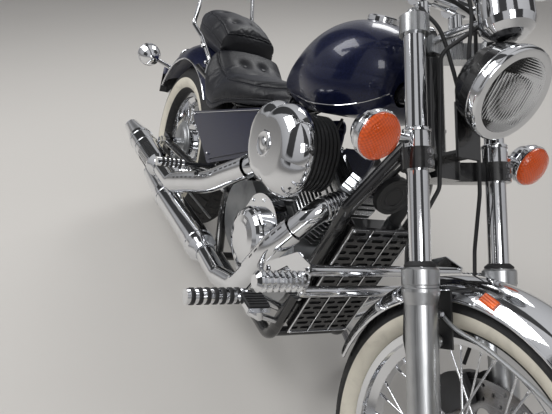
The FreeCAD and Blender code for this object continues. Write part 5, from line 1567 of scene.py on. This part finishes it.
def chain_rows():
    """A row for each pair of links, round the sprockets on the chain's middle line."""
    run = SMALL_CENTRE - BIG_CENTRE
    tilt = math.atan2(run.z, run.x)
    spread = math.acos((BIG_SPROCKET - SMALL_SPROCKET) / run.length)
    reach = math.sqrt(run.length ** 2 - (BIG_SPROCKET - SMALL_SPROCKET) ** 2)
    upper, lower = tilt + spread, tilt - spread
    stretches = (
        # length, centre, radius, angle at its start, straight or round
        (reach, BIG_CENTRE, BIG_SPROCKET, upper, True),
        (2.0 * spread * SMALL_SPROCKET, SMALL_CENTRE, SMALL_SPROCKET, upper, False),
        (reach, SMALL_CENTRE, SMALL_SPROCKET, lower, True),
        (2.0 * (math.pi - spread) * BIG_SPROCKET, BIG_CENTRE, BIG_SPROCKET, lower, False),
    )
    whole = sum(stretch[0] for stretch in stretches)
    count = round(whole / CHAIN_PITCH)
    made = []
    for i in range(count):
        far = whole * i / count
        for length, centre, radius, angle, straight in stretches:
            if far <= length:
                break
            far -= length
        turn = angle if straight else angle - far / radius
        out = Vector((math.cos(turn), 0.0, math.sin(turn)))
        along = Vector((out.z, 0.0, -out.x))
        spot = centre + out * radius
        made.append((spot + along * far if straight else spot, LEFT, along))
    return made


def link_plate(start, low, high):
    """Figure-of-eight plate from one pin to the next, its thickness along Z."""
    outline = []
    for centre, first, waist in ((start + LINK, -90, LINK_WAIST), (start, 90, -LINK_WAIST)):
        for turn in (0, 45, 90, 135, 180):
            a = math.radians(first + turn)
            outline.append(Vector((centre + LINK_EYE * math.cos(a), LINK_EYE * math.sin(a), low)))
        outline.append(Vector((start + WAIST_AT, waist, low)))
    return plate(outline, (0.0, 0.0, high - low))


def link_pair():
    """An outer and an inner link with their rollers."""
    made = Shape()
    for side in (1.0, -1.0):
        for start, inner, outer in LAYERS:
            made.join(link_plate(start, side * inner, side * outer))
    for x in (0.0, LINK):
        pin = Vector((x, 0.0, 0.0))
        made.join(lathe("chain_pin", pin, UP)).join(lathe("chain_roller", pin, UP))
    return made


class MOTORCYCLE_OT_wheel_parts(bpy.types.Operator):
    """Adds spoke nipples, valves and the chain's links"""

    bl_idname = "motorcycle.wheel_parts"
    bl_label = "Wheel Parts"

    def execute(self, context):
        wheels = (
            # name, rim, hub, flange, body
            ("front", 222.5, 41.0, 33.0, "front_wheel"),
            ("rear", 172.0, 75.0, 34.0, "rear_wheel"),
        )
        for name, rim_r, hub_r, flange_at, body in wheels:
            nipples = spoke_rows(rim_r, hub_r, flange_at)
            fitted(name + "_nipples", lathe("nipple", ORIGIN, UP), nipples, body, "chrome")
            piece(name + "_valve", lathe("valve", mm(0.0, 0.0, 2.0 - rim_r), UP), body, "rubber")
        links = fitted("chain_links", link_pair(), chain_rows(), "frame", "chain")
        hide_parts("drive_chain")
        return {"FINISHED"}


# Engine and exhaust trim

SHIELD_OUT = Vector((0.0, -0.92, 0.38)).normalized()
SHIELD_THICK = 0.0016
SHIELD_SPREAD = 205.0
SHIELD_SIDES = 14
SILENCER_AXIS = mm(-469.5, 0.0, -18.0).normalized()
LOWER_AXIS = mm(-670, 8, -40).normalized()
LOUVRE_ANGLES = (-28, 0, 28, 56)
LOUVRES_IN_ROW = 9
LOUVRE_FIRST = 0.030
LOUVRE_STEP = 0.014
LOUVRE_OUT = 0.0470
RADIATOR_ROW = {"Count": 57, "Step": (0.0, 0.0, 0.005)}


def gutter(line, radius):
    """Half-round shield along a line, open towards the pipe, its back facing out."""
    loops = []
    count = len(line)
    order = ((radius + SHIELD_THICK, range(SHIELD_SIDES + 1)), (radius, range(SHIELD_SIDES, -1, -1)))
    for i, spot in enumerate(line):
        axis = (line[min(i + 1, count - 1)] - line[max(i - 1, 0)]).normalized()
        first = square_to(axis)
        second = axis.cross(first)
        loop = []
        for r, steps in order:
            for j in steps:
                a = math.radians(SHIELD_SPREAD * (j / SHIELD_SIDES - 0.5))
                loop.append(spot + (first * math.cos(a) + second * math.sin(a)) * r)
        loops.append(loop)
    return rings(loops)


def square_to(axis):
    """The shields' outward direction, made square to a pipe's axis."""
    return (SHIELD_OUT - axis * SHIELD_OUT.dot(axis)).normalized()


def hoops_along(start, end, count, radius, wire):
    """Rings in a row, all in millimetres."""
    start, end = mm(*start), mm(*end)
    axis = (end - start).normalized()
    spots = [start + (end - start) * (i / (count - 1)) for i in range(count)]
    return gathered([hoop(spot, axis, radius / 1000.0, wire / 1000.0, 48, 8) for spot in spots])


class MOTORCYCLE_OT_engine_trim(bpy.types.Operator):
    """Adds heat shields, pipe rings, louvres, the air cleaner's crest and the spark plugs' leads"""

    bl_idname = "motorcycle.engine_trim"
    bl_label = "Engine Trim"

    def execute(self, context):
        self.shields()
        self.pipe_rings()
        self.louvres()
        piece("air_cleaner_crest", lathe("crest", mm(986, -250, 696), RIGHT), "frame", "chrome")
        self.leads()
        self.radiator()
        return {"FINISHED"}

    def shields(self):
        """Both heat shields and the slots along their backs."""
        rows = (
            # name, line, radius
            ("upper_shield", ((764, -150, 550), (690, -164.8, 493.5), (600, -182, 425), (480, -192.8, 366.2),
                              (372, -202.6, 313.2)), 0.0345),
            ("lower_shield", ((1072, -152, 527), (1040, -176, 455), (1000, -186, 368)), 0.0325),
        )
        for name, points, radius in rows:
            line = smooth_line([mm(*p) for p in points], 8)
            piece(name, gutter(line, radius), "frame", "chrome")
            spots = []
            for i in range(2, len(line) - 3, 2):
                axis = (line[i + 1] - line[i]).normalized()
                aim = square_to(axis)
                spots.append((line[i] + aim * (radius + 0.0017), aim, axis))
            fitted(name + "_slots", block("shield_slot"), spots, "frame", "plastic")

    def pipe_rings(self):
        rows = (
            # name, start, end, count, radius, wire
            ("front_port_rings", (1089, -66, 610), (1097, -114, 595.5), 6, 29.0, 2.2),
            ("rear_port_rings", (774, -86, 609), (781, -118, 587), 5, 31.0, 2.2),
            ("upper_clamp_rings", (196, -205, 292.3), (212, -205, 293), 3, 32.5, 3.0),
            ("lower_clamp_rings", (694, -186, 236.2), (710, -186.6, 237.2), 3, 30.5, 3.0),
        )
        for name, *sizes in rows:
            piece(name, hoops_along(*sizes), "frame", "chrome")

    def louvres(self):
        """Slits in four rows along the upper silencer, and a ring on each silencer's tip."""
        start = mm(189.5, -205.0, 292.0)
        louvres = []
        for angle in LOUVRE_ANGLES:
            aim = Vector((0.0, -math.cos(math.radians(angle)), math.sin(math.radians(angle))))
            for i in range(LOUVRES_IN_ROW):
                spot = start + SILENCER_AXIS * (LOUVRE_FIRST + LOUVRE_STEP * i)
                louvres.append((spot + aim * LOUVRE_OUT, aim, SILENCER_AXIS))
        fitted("silencer_louvres", block("silencer_slit"), louvres, "frame", "plastic")
        tips = ((mm(-280, -205, 274), SILENCER_AXIS), (mm(20, -178, 196), LOWER_AXIS))
        made = gathered([wire_ring("silencer_tip", centre, aim) for centre, aim in tips])
        piece("silencer_tip_rings", made, "frame", "chrome")

    def leads(self):
        """A cap on each spark plug and the lead that leaves it upwards."""
        caps = Shape()
        wires = Shape()
        for sign, top in ((1, (952, -40, 772)), (-1, (800, -40, 748))):
            place = CYLINDERS[sign]
            foot = place @ mm(-sign * 8, -76, 300)
            aim = (place.to_3x3() @ Vector((0.0, -0.86, 0.5))).normalized()
            caps.join(lathe("plug_cap", foot, aim))
            tip = foot + aim * 0.022
            line = smooth_line([tip, tip + aim * 0.016, tip + aim * 0.022 + UP * 0.030, mm(*top)], 10)
            wires.join(wired("plug_lead", line))
        piece("plug_caps", caps, "frame", "rubber")
        piece("plug_leads", wires, "frame", "rubber")

    def radiator(self):
        """The core's fins, and the guard's bright frame and bars."""
        place = MACHINE @ GUARD
        repeated("radiator_fins", mesh_of("fin", block("radiator_fin")), "row", RADIATOR_ROW, "frame",
                 "fin_sheet", place)
        edge = [mm(1.6, y, z) for y, z in ((-90, -185), (90, -185), (90, 185), (-90, 185))]
        bars = gathered([wired("guard_bar", [mm(1.4, y, -184), mm(1.4, y, 184)]) for y in (-31.5, 31.5)])
        piece("guard_frame", wired("guard_frame", edge, closed=True), "frame", "chrome", place)
        piece("guard_bars", bars, "frame", "chrome", place)


# Chassis trim

BEAD_STEPS = 40
SPRING_TURNS = 16
SPRING_STEPS = 16
SPRING_RADIUS = 0.0075


def polar(hub, radius, angle, y):
    """Point round an axle, its radius and y in millimetres."""
    a = math.radians(angle)
    return hub + mm(radius * math.cos(a), y, radius * math.sin(a))


def fender_bead(wire, hub, radius, y, first, last):
    """Bright bead on both edges of a fender, from one angle to another."""
    swing = (last - first) / BEAD_STEPS
    return both(wired(wire, [polar(hub, radius, first + swing * i, y) for i in range(BEAD_STEPS + 1)]))


class MOTORCYCLE_OT_chassis_trim(bpy.types.Operator):
    """Adds beads, stays, reflectors, pinstripes, seals, peg rubbers, cables and the stand's spring"""

    bl_idname = "motorcycle.chassis_trim"
    bl_label = "Chassis Trim"

    def execute(self, context):
        self.fenders()
        self.reflectors()
        self.stripes()
        pieces((
            # name, shape, body, finish
            ("fork_seals", self.on_legs("fork_seal", SLIDER_TOP), "fork", "rubber"),
            ("indicator_collars", self.on_legs("collar", 948.0), "fork", "chrome"),
        ))
        self.pegs()
        self.pedals()
        self.cables()
        self.stand_spring()
        return {"FINISHED"}

    def fenders(self):
        """Beads of both fenders, and the front one's stays with their bolts."""
        front = fender_bead("front_bead", FRONT_HUB, 308.5, -62.6, 32.5, 179.5)
        rear = fender_bead("rear_bead", REAR_HUB, 326.5, -110.4, 48.5, 153.5)
        line = smooth_line([polar(FRONT_HUB, radius, angle, -73.5) for radius, angle in (
            (281, 118), (262, 111), (257, 98), (259, 84), (272, 70), (290, 58), (303, 50))], 8)
        pieces((
            # name, shape, body, finish
            ("front_fender_beads", front, "fork", "chrome"),
            ("rear_fender_beads", rear, "frame", "chrome"),
            ("front_fender_stays", both(wired("stay", line)), "fork", "satin_steel"),
        ))
        ends = [(polar(FRONT_HUB, radius, angle, -77.0), RIGHT, UP)
                for radius, angle in ((282, 118), (303, 50))]
        fitted("front_fender_stay_bolts", bolt(7), two_sided(ends), "fork", "chrome")

    def reflectors(self):
        skin = skin_of(copied("front_fender"))
        ahead = STEERED.to_3x3() @ AHEAD
        rows = []
        for y in (-56.0, 56.0):
            near, normal, _, _ = skin.find_nearest(STEERED @ polar(FRONT_HUB, 326, 103, y))
            rows.append((near, normal, ahead.cross(normal).cross(normal).normalized()))
        fitted("fender_reflectors", block("reflector"), rows, "fork", "orange", AS_IT_IS)

    def stripes(self):
        """Thin bright lines on the tank and the side covers."""
        skin = skin_of(copied("fuel_tank"))
        path = ((1084, -36, 884), (1062, -74, 852), (1020, -100, 829), (960, -116, 812), (865, -114, 792),
                (760, -84, 776), (690, -48, 774))
        lines = [wired("tank_stripe", laid(skin, points, 0.0004)) for points in (path, other_side(path))]
        piece("tank_stripes", gathered(lines), "frame", "chrome", AS_IT_IS)
        top = wired("cover_stripe", [mm(232, -136.6, 524), mm(700, -136.6, 695.5)])
        piece("side_cover_stripes", both(top), "frame", "chrome")

    def on_legs(self, profile, up):
        """A turned form round both fork legs, at a height along the steering axis."""
        spots = [fork_point(LEG_AHEAD, y, up) for y in (-LEG_BESIDE, LEG_BESIDE)]
        return gathered([lathe(profile, spot, FORK_UP) for spot in spots])

    def pegs(self):
        rows = (
            # name, profile, first band, step between bands, count
            ("rider_peg_bands", "rider_band", (1080, -252, 345), -19, 7),
            ("passenger_peg_bands", "passenger_band", (486, -242, 428), -14, 5),
        )
        for name, profile, (x, y, z), step, count in rows:
            spots = two_sided([(mm(x, y + step * i, z), RIGHT, UP) for i in range(count)])
            fitted(name, lathe(profile, ORIGIN, UP), spots, "frame", "rubber")

    def pedals(self):
        """Rubbers of the brake pedal and the gear lever."""
        piece("brake_pedal_rubber", block("pedal_pad"), "frame", "rubber", bevel=0.002)
        ribs = Shape()
        for ahead in (0, 9, 18, 27, 36):
            ribs.join(block("pedal_rib"), Matrix.Translation(mm(ahead, 0, 0)))
        piece("brake_pedal_ribs", ribs, "frame", "rubber")
        piece("gear_lever_rubber", lathe("lever_rubber", mm(1190, 262, 400), LEFT), "frame", "rubber")

    def cables(self):
        rows = (
            # name, points ahead of, beside and up along the steering axis
            ("clutch_cable", ((-12, 318, 1392), (40, 240, 1378), (112, 120, 1322), (128, 52, 1236),
                              (112, 30, 1140), (100, 16, 1062))),
            ("throttle_cable", ((-26, -322, 1392), (34, -236, 1386), (118, -108, 1330), (134, -44, 1230),
                                (116, -26, 1140), (102, -14, 1062))),
            ("wiring_sleeve", ((52, -90, 1236), (76, -60, 1190), (82, -34, 1120), (92, -24, 1050))),
        )
        for name, points in rows:
            line = smooth_line([fork_point(*p) for p in points], 10)
            piece(name, wired("cable", line), "fork", "rubber")

    def stand_spring(self):
        start, end = mm(991, 150, 196), mm(1009, 206, 118)
        first, second = across_of((end - start).normalized())
        whole = SPRING_TURNS * SPRING_STEPS
        line = []
        for i in range(whole + 1):
            angle = 2.0 * math.pi * i / SPRING_STEPS
            out = first * math.cos(angle) + second * math.sin(angle)
            line.append(start + (end - start) * (i / whole) + out * SPRING_RADIUS)
        piece("stand_spring", wired("spring", line), "side_stand", "steel")


# Stage

class StageSettings(bpy.types.PropertyGroup):
    """Floor, light and camera"""

    floor: FloatVectorProperty(name="Floor", description="Colour of the floor", subtype="COLOR",
                               default=(0.60, 0.58, 0.55), min=0.0, max=1.0)
    key: FloatProperty(name="Key Light", description="Power of the large key lamp", default=132.0,
                       min=0.0, max=2000.0, unit="POWER")
    sky: FloatProperty(name="Sky", description="Strength of the soft light all round", default=0.46,
                       min=0.0, max=3.0)
    flags: FloatProperty(name="Dark Flags", description="Brightness of the dark bands round the set",
                         default=0.10, min=0.0, max=1.0)
    turn: FloatProperty(name="Flag Turn", description="Where the dark bands stand, in degrees", default=60.0,
                        min=0.0, max=360.0)
    lens: FloatProperty(name="Lens", description="Focal length of the camera", default=37.01,
                        min=10.0, max=200.0, unit="CAMERA")


FLOOR_REACH = 40.0
SKY_LEVELS = ((0.0, 0.30), (0.49, 0.42), (0.53, 0.80), (0.72, 1.0), (1.0, 1.25))
SKY_BANDS = 4.0


def lay_floor(settings):
    corners = [(x * FLOOR_REACH, y * FLOOR_REACH, 0.0) for x, y in ((-1, -1), (1, -1), (1, 1), (-1, 1))]
    mesh = bpy.data.meshes.new("floor")
    mesh.from_pydata(corners, [], [(0, 1, 2, 3)])
    colour = tuple(settings.floor)
    finish = Finish("floor", colour, roughness=0.85)
    finish.set("Base Color", finish.mix(finish.noise(1.3, 4.0), colour, toned(colour, 0.97)))
    mesh.materials.append(finish.material)
    shown("floor", mesh)


def hang_sky(settings):
    """Pale sky, brighter above, with dark bands over the horizon for chrome to reflect."""
    world = bpy.data.worlds.new("studio")
    bpy.context.scene.world = world
    sky = ShaderTree(world)
    x, y, z = sky.axes(sky.node("ShaderNodeTexCoord", {}, {}, "Generated"))
    stops = [(position, (level, level, level * 1.02)) for position, level in SKY_LEVELS]
    glow = sky.node("ShaderNodeValToRGB", {"stops": stops}, {0: z.scaled(-1.0, 1.0, way="LINEAR")})
    bands = (y.angle_from(x) * SKY_BANDS + math.radians(settings.turn)).sine()
    flags = bands.scaled(0.25, 0.45, 1.0, settings.flags, way="LINEAR")
    above = z.scaled(0.06, 0.16, way="LINEAR")
    shade = 1.0 - above + above * flags
    background = sky.nodes["Background"]
    sky.feed(background.inputs["Color"], glow.shaded_by(shade))
    sky.feed(background.inputs["Strength"], settings.sky)


def hang_lamps(settings):
    middle = (CAD_BOX[0] + CAD_BOX[1]) / 2.0
    rows = (
        # name, spot, size, share of the key's power
        ("key", Vector((-1.4, -2.6, 3.6)), 2.4, 1.0),
        ("rim", Vector((-2.6, 2.6, 2.8)), 1.6, 0.45),
        ("front", Vector((3.8, -1.4, 2.2)), 1.4, 0.30),
    )
    for name, spot, size, share in rows:
        lamp = bpy.data.lights.new(name, "AREA")
        lamp.shape = "SQUARE"
        lamp.size = size
        lamp.energy = settings.key * share
        hung = shown(name, lamp)
        hung.location = middle + spot
        hung.rotation_mode = "QUATERNION"
        hung.rotation_quaternion = (-spot).to_track_quat("-Z", "Y")


CAMERA_SPOT = Vector((2.07617, -0.843776, 1.056985))
CAMERA_AIM = Vector((-0.787974, 0.488710, -0.374513))
CAMERA_UP = Vector((-0.460973, -0.065028, 0.885028))


def set_camera(settings):
    camera = bpy.data.cameras.new("photo_view")
    camera.sensor_width = 36.0
    camera.lens = settings.lens
    camera.clip_start = 0.02
    camera.clip_end = 200.0
    hung = shown("photo_view", camera)
    hung.matrix_world = MACHINE @ columns(CAMERA_AIM.cross(CAMERA_UP), CAMERA_UP, -CAMERA_AIM, CAMERA_SPOT)
    bpy.context.scene.camera = hung


class MOTORCYCLE_OT_stage(bpy.types.Operator):
    """Lays the floor, hangs the light and sets the camera"""

    bl_idname = "motorcycle.stage"
    bl_label = "Stage"

    def execute(self, context):
        settings = context.scene.motorcycle_stage
        lay_floor(settings)
        hang_sky(settings)
        hang_lamps(settings)
        set_camera(settings)
        context.scene.view_settings.view_transform = "Standard"
        return {"FINISHED"}


class PaintSettings(bpy.types.PropertyGroup):
    """Colours of the paint, rubber and lenses"""

    navy: FloatVectorProperty(name="Paint", description="Colour of tank, covers and rear fender",
                              subtype="COLOR", default=(0.0022, 0.0038, 0.018), min=0.0, max=1.0)
    whitewall: FloatVectorProperty(name="Whitewall", description="Ring on the tyres' walls",
                                   subtype="COLOR", default=(0.70, 0.66, 0.56), min=0.0, max=1.0)
    orange: FloatVectorProperty(name="Indicator Lens", description="Colour of the indicator lenses",
                                subtype="COLOR", default=(0.85, 0.13, 0.012), min=0.0, max=1.0)


class MOTORCYCLE_OT_finishes(bpy.types.Operator):
    """Mixes the finishes and gives every solid its own"""

    bl_idname = "motorcycle.finishes"
    bl_label = "Finishes"

    def execute(self, context):
        make_finishes(context.scene.motorcycle_paint)
        for node, finish in CAD_FINISHES.items():
            materials = frame["nodes"][node].data.materials
            materials.clear()
            materials.append(FINISHES[finish])
        TREES.update({"around": around_tree(), "row": row_tree(), "fittings": spots_tree()})
        return {"FINISHED"}


class MOTORCYCLE_PT_panel(bpy.types.Panel):
    """Shows the motorcycle's settings and a button for each of its steps"""

    bl_label = "Motorcycle"
    bl_idname = "MOTORCYCLE_PT_panel"
    bl_space_type = "VIEW_3D"
    bl_region_type = "UI"
    bl_category = "Motorcycle"

    def draw(self, context):
        for name, _ in SETTINGS:
            for key in getattr(context.scene, name).__annotations__:
                self.layout.prop(getattr(context.scene, name), key)
        for operator in OPERATORS:
            self.layout.operator(operator.bl_idname)


SETTINGS = (
    ("motorcycle_stage", StageSettings),
    ("motorcycle_paint", PaintSettings),
    ("motorcycle_tyres", TyreSettings),
    ("motorcycle_seats", SeatSettings),
)
OPERATORS = (MOTORCYCLE_OT_stage, MOTORCYCLE_OT_finishes, MOTORCYCLE_OT_tyres, MOTORCYCLE_OT_seats,
             MOTORCYCLE_OT_lamps, MOTORCYCLE_OT_bolts, MOTORCYCLE_OT_wheel_parts, MOTORCYCLE_OT_engine_trim,
             MOTORCYCLE_OT_chassis_trim)


def register():
    for name, group in SETTINGS:
        bpy.utils.register_class(group)
        setattr(bpy.types.Scene, name, PointerProperty(type=group))
    for operator in OPERATORS:
        bpy.utils.register_class(operator)
    bpy.utils.register_class(MOTORCYCLE_PT_panel)


def unregister():
    bpy.utils.unregister_class(MOTORCYCLE_PT_panel)
    for operator in reversed(OPERATORS):
        bpy.utils.unregister_class(operator)
    for name, group in reversed(SETTINGS):
        delattr(bpy.types.Scene, name)
        bpy.utils.unregister_class(group)


def main():
    register()
    for operator in OPERATORS:
        family, name = operator.bl_idname.split(".")
        getattr(getattr(bpy.ops, family), name)()


if __name__ == "__main__":
    main()
